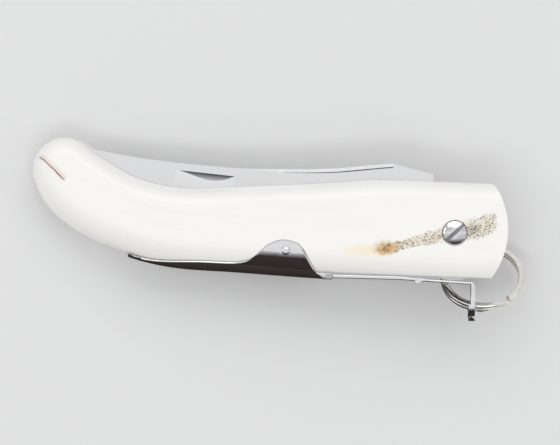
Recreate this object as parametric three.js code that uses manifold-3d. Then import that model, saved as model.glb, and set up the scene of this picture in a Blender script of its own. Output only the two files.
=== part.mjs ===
// A folding pocket knife, closed, with a one-piece bone handle, an outside back spring and a pull ring.
// Sizes are in millimetres. The knife lies on its side: +X runs from the butt to the pivot end, +Y from
// the back spring to the blade's side, and +Z up through the handle's thickness. Everything is drawn
// around the blade's pivot, and the whole group is then moved so that the origin is under the middle of
// the object's box, at its lowest point.
import * as THREE from "three";
import { mergeVertices } from "three/addons/utils/BufferGeometryUtils.js";
import Module from "manifold-3d";

const wasm = await Module();
wasm.setup();

// The whole knife. Its outlines are drawn as points round the pivot, for a reach of 109.1 behind it, one of
// 14.9 in front of it and a depth of 28.5. These three sizes stretch them.
const handleReach = 109.1; // from the pivot back to the middle of the butt's rounding
const frontReach = 14.9; // from the pivot to the front of the handle
const handleDepth = 28.5; // across the knife at the pivot, from its back to its blade's side
const alongKnife = (x) => x * (x < 0 ? handleReach / 109.1 : frontReach / 14.9);
const acrossKnife = (y) => (y * handleDepth) / 28.5;
const onKnife = ([x, y]) => [alongKnife(x), acrossKnife(y)];

// Handle
const handleHalf = 8; // half of its thickness where its sides are flat
const handleFrontHalf = 6.92; // the same at the front
const handleButtHalf = 6.8; // and at the butt
const backRound = 8; // how far the rounding reaches in from the back's outline
const bladeSideRound = 5; // and from the outline on the blade's side
const flatFrom = -handleReach * 0.8066; // the flat sides run from here
const flatTo = -handleReach * 0.2383; // to here
const buttRadius = 9.1;
const buttCentre = [-handleReach, handleDepth * 0.6175];
const frontRadius = 22.57;
const frontCentre = [frontReach - frontRadius, handleDepth * 0.0375];
const frontCornerBack = 5.1; // the blade's side ends this far behind the front, in a small rounded corner
const frontCornerCut = 1.6; // length of that corner along the knife
const frontCornerY = handleDepth * 0.4947;
const saddleEnd = -handleReach * 0.3144; // where the saddle steps down to the leaf
const backFlatY = -handleDepth * 0.388; // the flat that the leaf lies along, at the saddle's end
const backFlatSlope = -0.0371;
const backFlatFrom = -handleReach * 0.5683;

// Blade
const bladeThickness = 2.6;
const edgeThickness = 0.3;
const tipThickness = 1.2;
const spineBevel = 1.4; // width of the bevel along the spine
const spineThickness = 1.5;
const grindShare = 0.42; // the flat of the blade ends at this share of its width
const tangToLeaf = 0.21; // between the tang's disc and the leaf over the pivot
const toothHeight = 0.85; // how far the lock tooth rises over the disc
const toothFrom = 82; // degrees round the tang, where the lock tooth starts to rise
const toothTo = 93; // and where it ends in the locking face
const stopClearance = 0.25; // between the tang's step and the lug when the blade is open
const nickLength = 16.2;
const nickDepth = 0.6;
const nickWidth = 2.6;
const nickCentre = [-handleReach * 0.637, handleDepth * 0.5754];
const nickTurn = -5.5; // degrees

// Slot
const washerThickness = 0.25;
const washerRadius = 4.6;
const slideGap = 0.05; // between faces that slide on each other
const edgeClearance = 1.6; // between the blade's edge and the slot's floor
const tangClearance = 0.5;

// Pivot
const barrelRadius = 2.5;
const shankRadius = 1.5;
const headRadius = 3.65;
const headRim = 0.9; // height of the head's straight rim
const headDome = 0.75;
const headSink = 1.2; // how deep the head's seat is cut below the handle's side
const headGap = 0.2; // between the head and the wall of its seat
const boreGap = 0.1;
const driverSlotWidth = 1.15;
const driverSlotDepth = 0.8;
const driverSlotTurn = 42; // degrees
const nutSlotTurn = -18;
const shankStop = 2.2; // the screw's shank ends this far from the nut's head
const boreStop = 1.9; // and the barrel's bore this far from it

// Back spring
const saddleProud = 0.9; // how far the saddle stands out of the handle's back
const saddleBack = 1.35; // its thickness at the back
const earProud = 0.4; // how far an ear stands out of the handle's side
const earThickness = 1;
const saddleGap = 0.12; // between the saddle and its seat
const tongueLength = 4.5; // the flat stretch of the saddle before its end
const tongueThin = 0.2; // its thickness where it grows out of the round back
const tongueThick = 1.5; // and at the step
const leafGap = 0.15; // between the saddle's end and the leaf
const leafHalfWidth = 4.7;
const leafThickness = 1.05; // at the saddle's end
const leafThinThickness = 0.72; // from the rib to the lug
const leafRise = 0.53; // between its inner face and the handle's flat at the saddle's end
const leafBend = [-handleReach * 0.1402, -handleDepth * 0.4253]; // its inner face where it leans outwards
const leafThin = [-handleReach * 0.0779, -handleDepth * 0.4526]; // the same behind the rib
const leafEndY = -handleDepth * 0.4835; // and at the lug
const ribFrom = -handleReach * 0.1017;
const ribWidth = 2.3;
const ribHeight = 0.42;
const lugFront = 5.8;
const lugThickness = 1.3;
const lugReach = 6.22; // from the leaf's inner face to the middle of the lug's hole
const lugHoleRadius = 2.8;
const lugLip = 0.75; // how much thicker the lug is from its hole to its round end
const lugBendRadius = 1.2;
const toothGap = 0.15;

// Saddle rivet
const rivetPlace = [-handleReach * 0.4326, -handleDepth * 0.1754];
const rivetRadius = 0.8;
const rivetHeadRadius = 1.2;
const rivetHeadHeight = 0.55;

// Split ring
const ringInside = 20.2;
const ringWireWidth = 1.8; // across the ring's radius
const ringWireThickness = 1.15; // along its axis, one turn
const ringWireRound = 0.32; // size of the cut along the wire's edges
const ringTurnGap = 0.1;
const ringTilt = 40.3; // degrees that it leans under the handle
const ringSlide = 2.9; // along the knife, from the lug's hole to the ring's centre
const ringHang = 0.2; // how much closer than its own radius that centre is to the hole
const ringUnder = 1.2; // how far under the middle of the hole the ring's plane passes
const ringJog = 14; // half of the angle over which the wire crosses from one turn to the other
const ringEndsAt = -66; // degrees round the ring, where the wire's two ends are
const ringEndGap = 3; // degrees between an end and the crossing
const ringStepsPerTurn = 44;
const ringTurns = 2;

const lugHoleY = leafEndY - lugReach;
const lugBack = lugFront - lugThickness;
const lineAt = (x, [fromX, fromY], [toX, toY]) => fromY + ((toY - fromY) * (x - fromX)) / (toX - fromX);
const leafInnerAt = (x) => lineAt(x, leafThin, [lugFront - lugBendRadius, leafEndY]);
const tangRadius = -leafInnerAt(0) - tangToLeaf;
const toothRadius = tangRadius + toothHeight;

const materials = {
  bone: new THREE.MeshStandardMaterial({ color: 0xf1ece2, roughness: 0.25, metalness: 0 }),
  blade: new THREE.MeshStandardMaterial({ color: 0x9fa1a4, roughness: 0.4, metalness: 1 }),
  polished: new THREE.MeshStandardMaterial({ color: 0xc9cbcf, roughness: 0.1, metalness: 1 }),
  nickel: new THREE.MeshStandardMaterial({ color: 0xd6d4cc, roughness: 0.15, metalness: 1 }),
  brass: new THREE.MeshStandardMaterial({ color: 0xb89552, roughness: 0.35, metalness: 1 }),
};

const fullTurn = 360; // degrees
const through = 3 * handleHalf; // a cut that reaches this far from the middle plane goes right through
const overlap = 0.4; // how far two bodies that become one run into each other
const deg = THREE.MathUtils.degToRad;
const vec = (x, y) => new THREE.Vector2(x, y);

// A closed geometry becomes a solid once only its shared positions are left. A profile that was drawn the
// other way round gives faces that point inwards, so these are turned.
function solid(geometry) {
  const bare = geometry.clone();
  bare.deleteAttribute("normal");
  bare.deleteAttribute("uv");
  const merged = mergeVertices(bare, 1e-4);
  const vertProperties = new Float32Array(merged.attributes.position.array);
  const triVerts = new Uint32Array(merged.index.array);
  const body = new wasm.Manifold(new wasm.Mesh({ numProp: 3, vertProperties, triVerts }));
  if (body.volume() > 0) {
    return body;
  }
  triVerts.reverse();
  return new wasm.Manifold(new wasm.Mesh({ numProp: 3, vertProperties, triVerts }));
}

function geometryOf(body) {
  const mesh = body.getMesh();
  const geometry = new THREE.BufferGeometry();
  geometry.setAttribute("position", new THREE.BufferAttribute(new Float32Array(mesh.vertProperties), 3));
  geometry.setIndex(new THREE.BufferAttribute(new Uint32Array(mesh.triVerts), 1));
  return geometry;
}

// Points of a circular arc, angles in degrees, both ends included.
function arc([x, y], radius, from, to, steps) {
  const points = [];
  for (let i = 0; i <= steps; i += 1) {
    const angle = deg(from + ((to - from) * i) / steps);
    points.push(vec(x + radius * Math.cos(angle), y + radius * Math.sin(angle)));
  }
  return points;
}

// A smooth line through a few chosen points, cut into even steps.
function smooth(points, steps) {
  return new THREE.SplineCurve(points.map(([x, y]) => vec(x, y))).getSpacedPoints(steps);
}

// An outline in the XY plane, raised along Z.
function prism(points, low, high) {
  const geometry = new THREE.ExtrudeGeometry(new THREE.Shape(points), {
    depth: high - low,
    bevelEnabled: false,
  });
  return solid(geometry.translate(0, 0, low));
}

// An outline drawn in two other axes, raised along the third: its own x, y and height follow the axes.
function prismAlong(points, low, high, axisX, axisY, axisHeight) {
  const geometry = new THREE.ExtrudeGeometry(new THREE.Shape(points), {
    depth: high - low,
    bevelEnabled: false,
  });
  geometry.translate(0, 0, low);
  return solid(geometry.applyMatrix4(new THREE.Matrix4().makeBasis(axisX, axisY, axisHeight)));
}

const X = new THREE.Vector3(1, 0, 0);
const Y = new THREE.Vector3(0, 1, 0);
const Z = new THREE.Vector3(0, 0, 1);
const minusY = new THREE.Vector3(0, -1, 0);

// A cylinder along Z.
function rod([x, y], radius, low, high, sides = 32) {
  const geometry = new THREE.CylinderGeometry(radius, radius, high - low, sides);
  return solid(geometry.rotateX(Math.PI / 2).translate(x, y, (low + high) / 2));
}

function block(low, high) {
  const size = high.map((value, i) => value - low[i]);
  const geometry = new THREE.BoxGeometry(...size);
  return solid(geometry.translate(...low.map((value, i) => value + size[i] / 2)));
}

// A turned piece: its profile is pairs of radius and height, and it stands along Z.
function turned(profile, sides = 40) {
  const geometry = new THREE.LatheGeometry(
    profile.map(([radius, height]) => vec(radius, height)),
    sides,
  );
  return solid(geometry.rotateX(Math.PI / 2));
}

function outwardNormals(outline) {
  const count = outline.length;
  return outline.map((point, i) => {
    const before = outline[(i + count - 1) % count];
    const after = outline[(i + 1) % count];
    const along = vec(after.x - before.x, after.y - before.y).normalize();
    return vec(along.y, -along.x);
  });
}

// A body with rounded sides: its outline, counterclockwise, is its widest level, and it draws in towards
// its two flat faces. It can be made larger or smaller by an offset of the outline.
function pillow(outline, half, offset = 0, steps = 10) {
  const normals = outwardNormals(outline);
  const rounds = normals.map((n) => {
    const towardsBack = (1 - n.y) / 2;
    return bladeSideRound + (backRound - bladeSideRound) * towardsBack + offset;
  });
  const positions = [];
  for (let k = 0; k <= steps; k += 1) {
    const angle = -Math.PI / 2 + (Math.PI * k) / steps;
    outline.forEach((point, i) => {
      const shift = offset - rounds[i] * (1 - Math.cos(angle));
      positions.push(point.x + normals[i].x * shift, point.y + normals[i].y * shift, half * Math.sin(angle));
    });
  }
  const count = outline.length;
  const index = [];
  for (let k = 0; k < steps; k += 1) {
    for (let i = 0; i < count; i += 1) {
      const a = k * count + i;
      const b = k * count + ((i + 1) % count);
      index.push(a, b, b + count, a, b + count, a + count);
    }
  }
  const face = outline.map((_, i) => vec(positions[3 * i], positions[3 * i + 1]));
  const topStart = steps * count;
  THREE.ShapeUtils.triangulateShape(face, []).forEach(([a, b, c]) => {
    index.push(a, c, b);
    index.push(topStart + a, topStart + b, topStart + c);
  });
  const geometry = new THREE.BufferGeometry();
  geometry.setAttribute("position", new THREE.Float32BufferAttribute(positions, 3));
  geometry.setIndex(index);
  return solid(geometry);
}

// The handle's outline before anything is cut from it. It runs on past the pivot end to a round end of
// its own, which the front arc cuts off. Counterclockwise: butt, back, round end, blade's side.
const pastFront = 2 * frontReach;
const pastFrontHigh = handleDepth * 0.4702;
const pastFrontLow = -handleDepth * 0.5333;
const buttArc = arc(buttCentre, buttRadius, 50, 190, 12);
const backCurve = smooth(
  [
    [buttArc.at(-1).x, buttArc.at(-1).y],
    ...[
      [-116.1, 10.9],
      [-112.7, 6.1],
      [-107.7, 1.9],
      [-102.1, -1.4],
      [-96.5, -3.9],
      [-88.1, -6.9],
      [-77, -9.1],
      [-60, -10.3],
      [-34.3, -12.2],
      [0, -14.1],
    ].map(onKnife),
    [pastFront, pastFrontLow],
  ],
  46,
);
const bladeSideCurve = smooth(
  [
    [pastFront, pastFrontHigh],
    ...[
      [9.7, 13.9],
      [-4.1, 14.4],
      [-22, 14.9],
      [-35, 14.1],
      [-60.1, 13],
      [-71.3, 12.5],
      [-79.7, 13.1],
      [-89.5, 15.8],
      [-99.3, 21.4],
    ].map(onKnife),
    [buttArc[0].x, buttArc[0].y],
  ],
  44,
);
const endBow = arc(
  [pastFront, (pastFrontHigh + pastFrontLow) / 2],
  (pastFrontHigh - pastFrontLow) / 2,
  -90,
  90,
  10,
);
const handleOutline = [
  ...buttArc.slice(0, -1),
  ...backCurve.slice(0, -1),
  ...endBow,
  ...bladeSideCurve.slice(1, -1),
];

// The blade's spine and edge, both from the tip. Points of one number lie across from each other.
const spineCurve = [
  [-108.8, 25],
  [-101.4, 23.5],
  [-90.9, 21.4],
  [-79.7, 19.8],
  [-71.3, 19],
  [-62.9, 18.2],
  [-54.5, 17.9],
  [-43.3, 17.8],
  [-34.9, 17.95],
  [-29.3, 18.35],
  [-17.6, 19.3],
].map(onKnife);
const edgeCurve = [
  [-108.8, 25],
  [-107.2, 20.6],
  [-104.3, 15.8],
  [-99.8, 11.2],
  [-92.7, 6.7],
  [-82.5, 2.4],
  [-71.3, -0.2],
  [-57.3, -1.5],
  [-43.3, -1.7],
  [-31, -1.7],
  [-15.5, -1.6],
].map(onKnife);
const stepX = -(lugFront + stopClearance); // the tang's step mirrors the lug about the pivot
const stepTopY = handleDepth * 0.5737;

// A smooth function of x through the blade's edge, for the slot's floor.
const edgePoints = smooth(edgeCurve, 40);

function makeBlade() {
  const half = bladeThickness / 2;
  const stations = 30;
  const spine = smooth(spineCurve, 400);
  const edge = smooth(edgeCurve, 400);
  const rings = [];
  for (let k = 1; k <= stations; k += 1) {
    // stations lie closer together near the tip
    const share = (k / stations) ** 1.4;
    const i = Math.max(3, Math.round(share * 400));
    const s = spine[i];
    const e = edge[i];
    const across = e.distanceTo(s);
    const thick = Math.min(half, tipThickness / 2 + (half - tipThickness / 2) * Math.min(1, share * 3));
    const bevelShare = Math.min(0.3, spineBevel / across);
    const grind = Math.max(bevelShare + 0.05, grindShare);
    const rows = [
      [0, Math.min(thick, spineThickness / 2)],
      [bevelShare, thick],
      [grind, thick],
      [1, edgeThickness / 2],
    ];
    const ring = rows.map(([at, z]) => [s.x + (e.x - s.x) * at, s.y + (e.y - s.y) * at, z]);
    const back = ring.map(([x, y, z]) => [x, y, -z]).reverse();
    rings.push([...ring, ...back]);
  }
  const loft = loftOf(rings);
  const [joinX, spineY] = spineCurve.at(-1);
  const heelY = edgeCurve.at(-1)[1];
  const shoulder = prism(
    [
      vec(joinX, heelY),
      vec(stepX, 0),
      vec(stepX, stepTopY),
      vec(joinX, spineY),
      vec(joinX - overlap, spineY - spineBevel),
      vec(joinX - overlap, heelY + spineBevel),
    ],
    -half,
    half,
  );
  const ricasso = prism(
    [
      vec(joinX - 3 * overlap, heelY + overlap),
      vec(0, heelY + overlap),
      vec(0, tangRadius - spineBevel),
      vec(joinX - 3 * overlap, tangRadius - spineBevel),
    ],
    -half,
    half,
  );
  const tang = prism(tangOutline(), -half, half);
  const bore = rod([0, 0], barrelRadius + boreGap, -half - 1, half + 1);
  return loft.add(ricasso).add(shoulder).add(tang).subtract(bore).subtract(makeNick(half));
}

// The tang's disc, with a lock tooth that rises like a cam and ends in a square face.
function tangOutline() {
  const points = arc([0, 0], tangRadius, toothTo, toothFrom + fullTurn, 60);
  for (let i = 1; i <= 4; i += 1) {
    const share = i / 4;
    const angle = deg(toothFrom + (toothTo - toothFrom) * share);
    const radius = tangRadius + (toothRadius - tangRadius) * Math.sqrt(share);
    points.push(vec(radius * Math.cos(angle), radius * Math.sin(angle)));
  }
  return points;
}

// The nail nick: a crescent that is deepest along its straight side and runs out at its round side.
function makeNick(half) {
  const outline = [];
  const steps = 14;
  for (let i = 0; i <= steps; i += 1) {
    const share = i / steps;
    const bow = Math.sin(Math.PI * share) ** 0.8;
    outline.push(vec((share - 0.5) * nickLength, -nickWidth * bow));
  }
  const deep = prism(outline.reverse(), 0, 2 * nickDepth);
  const slope = Math.atan2(nickDepth, nickWidth);
  const [middleX, middleY] = nickCentre;
  const turn = new THREE.Matrix4().makeTranslation(middleX, middleY + nickWidth / 2, half - nickDepth);
  turn.multiply(new THREE.Matrix4().makeRotationZ(deg(nickTurn)));
  turn.multiply(new THREE.Matrix4().makeRotationX(-slope));
  return deep.transform(turn.toArray());
}

// Rings of points become one closed skin with a flat face at each end.
function loftOf(rings) {
  const count = rings[0].length;
  const index = [];
  for (let k = 0; k < rings.length - 1; k += 1) {
    for (let i = 0; i < count; i += 1) {
      const a = k * count + i;
      const b = k * count + ((i + 1) % count);
      index.push(a, a + count, b + count, a, b + count, b);
    }
  }
  const last = (rings.length - 1) * count;
  for (let i = 1; i < count - 1; i += 1) {
    index.push(0, i, i + 1);
    index.push(last, last + i + 1, last + i);
  }
  const geometry = new THREE.BufferGeometry();
  geometry.setAttribute("position", new THREE.Float32BufferAttribute(rings.flat(2), 3));
  geometry.setIndex(index);
  return solid(geometry);
}

const backFlatAt = (x, gap = 0) => backFlatY + backFlatSlope * (x - saddleEnd) - gap;

// What is left of the handle's blank in plan: in front of the flat back and behind the front arc.
function handlePlan() {
  const far = 2 * handleReach;
  const cornerX = frontReach - frontCornerBack;
  const inDegrees = THREE.MathUtils.radToDeg;
  const lowAngle = inDegrees(Math.asin((backFlatAt(cornerX) - frontCentre[1]) / frontRadius));
  const topAngle = inDegrees(Math.acos((cornerX + frontCornerCut - frontCentre[0]) / frontRadius));
  return [
    vec(-far, -far),
    vec(backFlatFrom, -far),
    vec(backFlatFrom, backFlatAt(backFlatFrom)),
    ...arc(frontCentre, frontRadius, lowAngle, topAngle, 14),
    vec(cornerX, frontCornerY),
    vec(cornerX, far),
    vec(-far, far),
  ];
}

// Half of the handle's thickness along its length. It thins in a straight line from its flat towards the
// pivot end, and in three steps towards the butt.
function handleSide() {
  const buttEnd = buttCentre[0] - buttRadius;
  const upper = [
    vec(pastFront + handleDepth, handleSideAt(pastFront + handleDepth)),
    vec(flatTo, handleHalf),
    vec(flatFrom, handleHalf),
    vec(flatFrom + (buttEnd - flatFrom) * 0.4, handleHalf - (handleHalf - handleButtHalf) / 3),
    vec(buttEnd, handleButtHalf),
    vec(buttEnd - buttRadius, handleButtHalf - 1),
  ];
  const lower = upper.map((point) => vec(point.x, -point.y)).reverse();
  return [...upper, ...lower];
}

function slotPlan() {
  const floor = [];
  const normals = edgePoints.map((point, i) => {
    const before = edgePoints[Math.max(0, i - 1)];
    const after = edgePoints[Math.min(edgePoints.length - 1, i + 1)];
    const along = vec(after.x - before.x, after.y - before.y).normalize();
    return vec(along.y, -along.x);
  });
  edgePoints.forEach((point, i) => {
    if (i % 2 === 0 && point.x < -(tangRadius + 2 * edgeClearance)) {
      floor.push(vec(point.x + normals[i].x * edgeClearance, point.y + normals[i].y * edgeClearance));
    }
  });
  const well = arc([0, 0], tangRadius + tangClearance, 194, 242, 8);
  const far = 2 * handleDepth;
  const mouth = [
    [-106.5, 26.4],
    [-109.6, 25.9],
    [-110.6, 24.9],
  ].map((point) => vec(...onKnife(point)));
  return [
    vec(mouth[0].x, far),
    ...mouth,
    ...floor,
    ...well,
    vec(well.at(-1).x, -far),
    vec(far, -far),
    vec(far, far),
  ];
}

// The saddle in plan: everything on the back's side of its shaped edge, with an ear at the rivet.
function saddlePlan(grow = 0) {
  const edge = smooth(
    [
      [-91.4, -5.9],
      [-88.1, -6.8],
      [-82.5, -7.65],
      [-71.3, -7.8],
      [-62.9, -8.15],
      [-59.4, -7.95],
      [-56.6, -7],
      [-54.2, -5.2],
      [-52.2, -3.4],
      [-48.3, -2.05],
      [-44.3, -2.9],
      [-42.4, -4.6],
      [-40.9, -7.2],
      [-38.7, -11],
      [-36.9, -12.6],
    ].map(onKnife),
    44,
  );
  const end = saddleEnd + grow;
  const start = vec(edge[0].x - grow, edge[0].y + grow * 0.5);
  const grown = edge.map((point, i) => {
    const before = edge[Math.max(0, i - 1)];
    const after = edge[Math.min(edge.length - 1, i + 1)];
    const along = vec(after.x - before.x, after.y - before.y).normalize();
    return vec(point.x - along.y * grow, point.y + along.x * grow);
  });
  const low = -2 * handleDepth;
  return [start, ...grown.slice(1), vec(end, grown.at(-1).y), vec(end, low), vec(start.x, low)].reverse();
}

// The room that the saddle takes out of the handle, and the core that its inside fits round.
function saddleCore(gap) {
  const sides = handleHalf + earProud - earThickness - gap;
  const round = pillow(handleOutline, sides, saddleProud - saddleBack - gap);
  const far = 2 * handleReach;
  const flat = [
    vec(-far, backFlatAt(-far, saddleGap * 2 - gap)),
    vec(far, backFlatAt(far, saddleGap * 2 - gap)),
    vec(far, far),
    vec(-far, far),
  ];
  return round.intersect(prism(flat, -through, through));
}

function makeHandle() {
  const blank = pillow(handleOutline, handleHalf, 0, 12);
  const side = prismAlong(handleSide(), -handleReach, handleReach, X, Z, minusY);
  const slotHalf = bladeThickness / 2 + washerThickness + 2 * slideGap;
  const slot = prism(slotPlan(), -slotHalf, slotHalf);
  const seat = prism(saddlePlan(saddleGap), -through, through).subtract(saddleCore(saddleGap));
  const pivotBore = rod([0, 0], barrelRadius + boreGap, -through, through);
  const nearSeat = rod([0, 0], headRadius + headGap, handleSideAt(0) - headSink, through, 40);
  const farSeat = rod([0, 0], headRadius + headGap, -through, headSink - handleSideAt(0), 40);
  const rivetBore = rod(rivetPlace, rivetRadius + boreGap, -through, through, 16);
  return blank
    .intersect(side)
    .intersect(prism(handlePlan(), -through, through))
    .subtract(slot)
    .subtract(seat)
    .subtract(pivotBore)
    .subtract(nearSeat)
    .subtract(farSeat)
    .subtract(rivetBore);
}

function handleSideAt(x) {
  return handleHalf - ((handleHalf - handleFrontHalf) * (x - flatTo)) / (frontReach - flatTo);
}

function makeSaddle() {
  const outer = pillow(handleOutline, handleHalf + earProud, saddleProud);
  const shell = outer.intersect(prism(saddlePlan(), -through, through)).subtract(saddleCore(0));
  return shell.add(makeTongue()).subtract(rod(rivetPlace, rivetRadius + boreGap, -through, through, 16));
}

// The saddle's end is a flat tongue as wide as the leaf that goes on from it.
function makeTongue() {
  const start = saddleEnd - tongueLength;
  const inner = 2 * saddleGap;
  const outline = [
    vec(start, backFlatAt(start, inner + tongueThin)),
    vec(start, backFlatAt(start, inner)),
    vec(saddleEnd, backFlatAt(saddleEnd, inner)),
    vec(saddleEnd, backFlatAt(saddleEnd, inner + tongueThick)),
  ];
  return prism(outline, -leafHalfWidth, leafHalfWidth);
}

// The leaf with its cross rib and its lug, one bent strip. The lug is thicker round its hole's lower half.
function makeLeaf() {
  const start = saddleEnd + leafGap;
  const lugLow = lugHoleY - leafHalfWidth;
  const ribEnd = ribFrom + ribWidth;
  const startY = backFlatY - leafRise;
  const bendOuter = leafBend[1] - leafThickness;
  const thinOuter = leafThin[1] - leafThinThickness;
  const outerAt = (x) => lineAt(x, [leafBend[0], bendOuter], [leafThin[0], thinOuter]);
  const side = [
    vec(start, startY),
    vec(start, startY - leafThickness),
    vec(leafBend[0], bendOuter),
    vec(ribFrom, outerAt(ribFrom)),
    vec(ribFrom + ribWidth * 0.1, outerAt(ribFrom) - ribHeight),
    vec(ribFrom + ribWidth * 0.4, outerAt(ribFrom) - ribHeight),
    vec(ribEnd, outerAt(ribEnd)),
    vec(leafThin[0], thinOuter),
    vec(lugBack, leafEndY - leafThinThickness),
    vec(lugBack, lugHoleY),
    vec(lugBack - lugLip, lugHoleY - lugLip / 2),
    vec(lugBack - lugLip, lugLow),
    vec(lugFront, lugLow),
    ...arc([lugFront - lugBendRadius, leafEndY - lugBendRadius], lugBendRadius, 0, 90, 6),
    vec(leafThin[0], leafThin[1]),
    vec(leafBend[0], leafBend[1]),
  ];
  const strip = prism(side, -leafHalfWidth, leafHalfWidth);
  const across = [
    vec(0, -leafHalfWidth - 1),
    vec(0, leafHalfWidth + 1),
    vec(lugHoleY, leafHalfWidth + 1),
    ...arc([lugHoleY, 0], leafHalfWidth, 90, 270, 20),
    vec(lugHoleY, -leafHalfWidth - 1),
  ];
  const lugShape = prismAlong(across.reverse(), -handleReach, through, Y, Z, X);
  const holeCentre = arc([lugHoleY, 0], lugHoleRadius, 0, 345, 23);
  const hole = prismAlong(holeCentre, lugBack - 2, lugFront + 2, Y, Z, X);
  return strip.intersect(lugShape).subtract(hole).subtract(leafWindow());
}

// The lock tooth lies in this window when the blade is open, turned half a turn from where it is closed.
function leafWindow() {
  const lockFace = -toothRadius * Math.cos(deg(toothTo));
  const rampStart = -tangRadius * Math.cos(deg(toothFrom));
  const halfWidth = bladeThickness / 2 + toothGap;
  const inner = leafInnerAt(rampStart) + 1;
  const outer = leafEndY - leafThinThickness - 1;
  return block([rampStart - 2 * toothGap, outer, -halfWidth], [lockFace + toothGap, inner, halfWidth]);
}

function makeRivet() {
  const headSeat = handleHalf + earProud + slideGap;
  const dome = [];
  const steps = 4;
  for (let i = 0; i <= steps; i += 1) {
    const angle = (Math.PI / 2) * (i / steps);
    dome.push([rivetHeadRadius * Math.cos(angle), headSeat + rivetHeadHeight * Math.sin(angle)]);
  }
  const upper = [[rivetRadius, headSeat], ...dome.slice(0, -1), [0, headSeat + rivetHeadHeight]];
  const lower = upper.map(([radius, height]) => [radius, -height]).reverse();
  return turned([...lower, ...upper], 16).translate([...rivetPlace, 0]);
}

// A domed head above its rim, as pairs of radius and height from the rim inwards.
function domeProfile(seat) {
  const points = [];
  const steps = 5;
  for (let i = 0; i <= steps; i += 1) {
    const share = i / steps;
    points.push([headRadius * (1 - share), seat + headRim + headDome * (1 - (1 - share) ** 2)]);
  }
  return points;
}

function driverSlot(turn, top) {
  const width = driverSlotWidth / 2;
  const reach = 2 * headRadius;
  const slot = block([-reach, -width, top - driverSlotDepth], [reach, width, top + driverSlotDepth]);
  return slot.rotate([0, 0, turn]);
}

const headSeatAt = handleSideAt(0) - headSink + slideGap;

function makePivotScrew() {
  const profile = [
    [0, -headSeatAt + shankStop],
    [shankRadius, -headSeatAt + shankStop],
    [shankRadius, headSeatAt],
    [headRadius, headSeatAt],
    ...domeProfile(headSeatAt),
  ];
  const top = headSeatAt + headRim + headDome;
  return turned(profile).subtract(driverSlot(driverSlotTurn, top));
}

// The barrel that the blade turns on. Its bore takes the screw's shank and is open at the screw's end.
function makePivotNut() {
  const bore = shankRadius + boreGap;
  const profile = [
    [0, -headSeatAt + boreStop],
    [bore, -headSeatAt + boreStop],
    [bore, headSeatAt - slideGap],
    [barrelRadius, headSeatAt - slideGap],
    [barrelRadius, -headSeatAt],
    [headRadius, -headSeatAt],
    ...domeProfile(headSeatAt).map(([radius, height]) => [radius, -height]),
  ];
  const top = headSeatAt + headRim + headDome;
  const slot = driverSlot(nutSlotTurn, top).mirror([0, 0, 1]);
  return turned(profile).subtract(slot);
}

function makeWasher(side) {
  const low = bladeThickness / 2 + slideGap;
  const inner = barrelRadius + boreGap;
  const profile = [
    [inner, low],
    [washerRadius, low],
    [washerRadius, low + washerThickness],
    [inner, low + washerThickness],
    [inner, low],
  ];
  const washer = turned(profile, 32);
  return side > 0 ? washer : washer.mirror([0, 0, 1]);
}

// Two turns of flat wire. Both ends stop short of the place where the wire crosses between the turns.
function makeRing() {
  const radius = (ringInside + ringWireWidth) / 2;
  const layer = (ringWireThickness + ringTurnGap) / 2;
  const clearOfCrossing = ringJog + ringEndGap;
  const steps = ringStepsPerTurn * ringTurns;
  const from = clearOfCrossing;
  const to = fullTurn * ringTurns - clearOfCrossing;
  const w = ringWireWidth / 2;
  const h = ringWireThickness / 2;
  const section = [
    [w, -h + ringWireRound],
    [w, h - ringWireRound],
    [w - ringWireRound, h],
    [-w + ringWireRound, h],
    [-w, h - ringWireRound],
    [-w, -h + ringWireRound],
    [-w + ringWireRound, -h],
    [w - ringWireRound, -h],
  ];
  const rings = [];
  for (let k = 0; k <= steps; k += 1) {
    const at = from + ((to - from) * k) / steps;
    const cross = THREE.MathUtils.clamp((at - fullTurn + ringJog) / (2 * ringJog), 0, 1);
    const height = layer * (1 - 2 * THREE.MathUtils.smoothstep(cross, 0, 1));
    const angle = deg(at + ringEndsAt);
    rings.push(
      section.map(([out, up]) => [
        (radius + out) * Math.cos(angle),
        (radius + out) * Math.sin(angle),
        height + up,
      ]),
    );
  }
  const tilt = deg(ringTilt);
  const hang = radius - ringHang;
  const place = new THREE.Matrix4().makeTranslation(
    (lugBack + lugFront) / 2 + ringSlide,
    lugHoleY + hang * Math.cos(tilt) - ringUnder * Math.sin(tilt),
    -hang * Math.sin(tilt) - ringUnder * Math.cos(tilt),
  );
  place.multiply(new THREE.Matrix4().makeRotationX(-deg(ringTilt)));
  return loftOf(rings).transform(place.toArray());
}

const knife = new THREE.Group();

function addPiece(name, body, material) {
  const piece = new THREE.Mesh(geometryOf(body), material);
  piece.name = name;
  knife.add(piece);
}

addPiece("handle", makeHandle(), materials.bone);
addPiece("blade", makeBlade(), materials.blade);
addPiece("pivot_screw", makePivotScrew(), materials.polished);
addPiece("pivot_nut", makePivotNut(), materials.polished);
addPiece("washer_near", makeWasher(1), materials.brass);
addPiece("washer_far", makeWasher(-1), materials.brass);
addPiece("spring_saddle", makeSaddle(), materials.polished);
addPiece("spring_leaf", makeLeaf(), materials.polished);
addPiece("saddle_rivet", makeRivet(), materials.polished);
addPiece("split_ring", makeRing(), materials.nickel);

// The origin goes under the middle of the box.
const box = new THREE.Box3().setFromObject(knife);
const middle = box.getCenter(new THREE.Vector3());
knife.position.set(-middle.x, -middle.y, -box.min.z);

export default knife;
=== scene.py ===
# %% [markdown]
# # A folding pocket knife with a bone handle and a pull ring
#
# The knife lies closed on its side, and we look straight down on it. The exact solids of the knife are
# already there: they come from a CAD model and they say where every piece is and how it moves. This
# notebook dresses them. Each cell makes one piece with smooth, fine geometry and gives it a finish, and
# each piece then rides on the solid body that it belongs to.

# %% Load the solids
import math

import bmesh
import bpy
import numpy as np
from mathutils import Matrix, Vector
from mathutils.bvhtree import BVHTree


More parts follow.
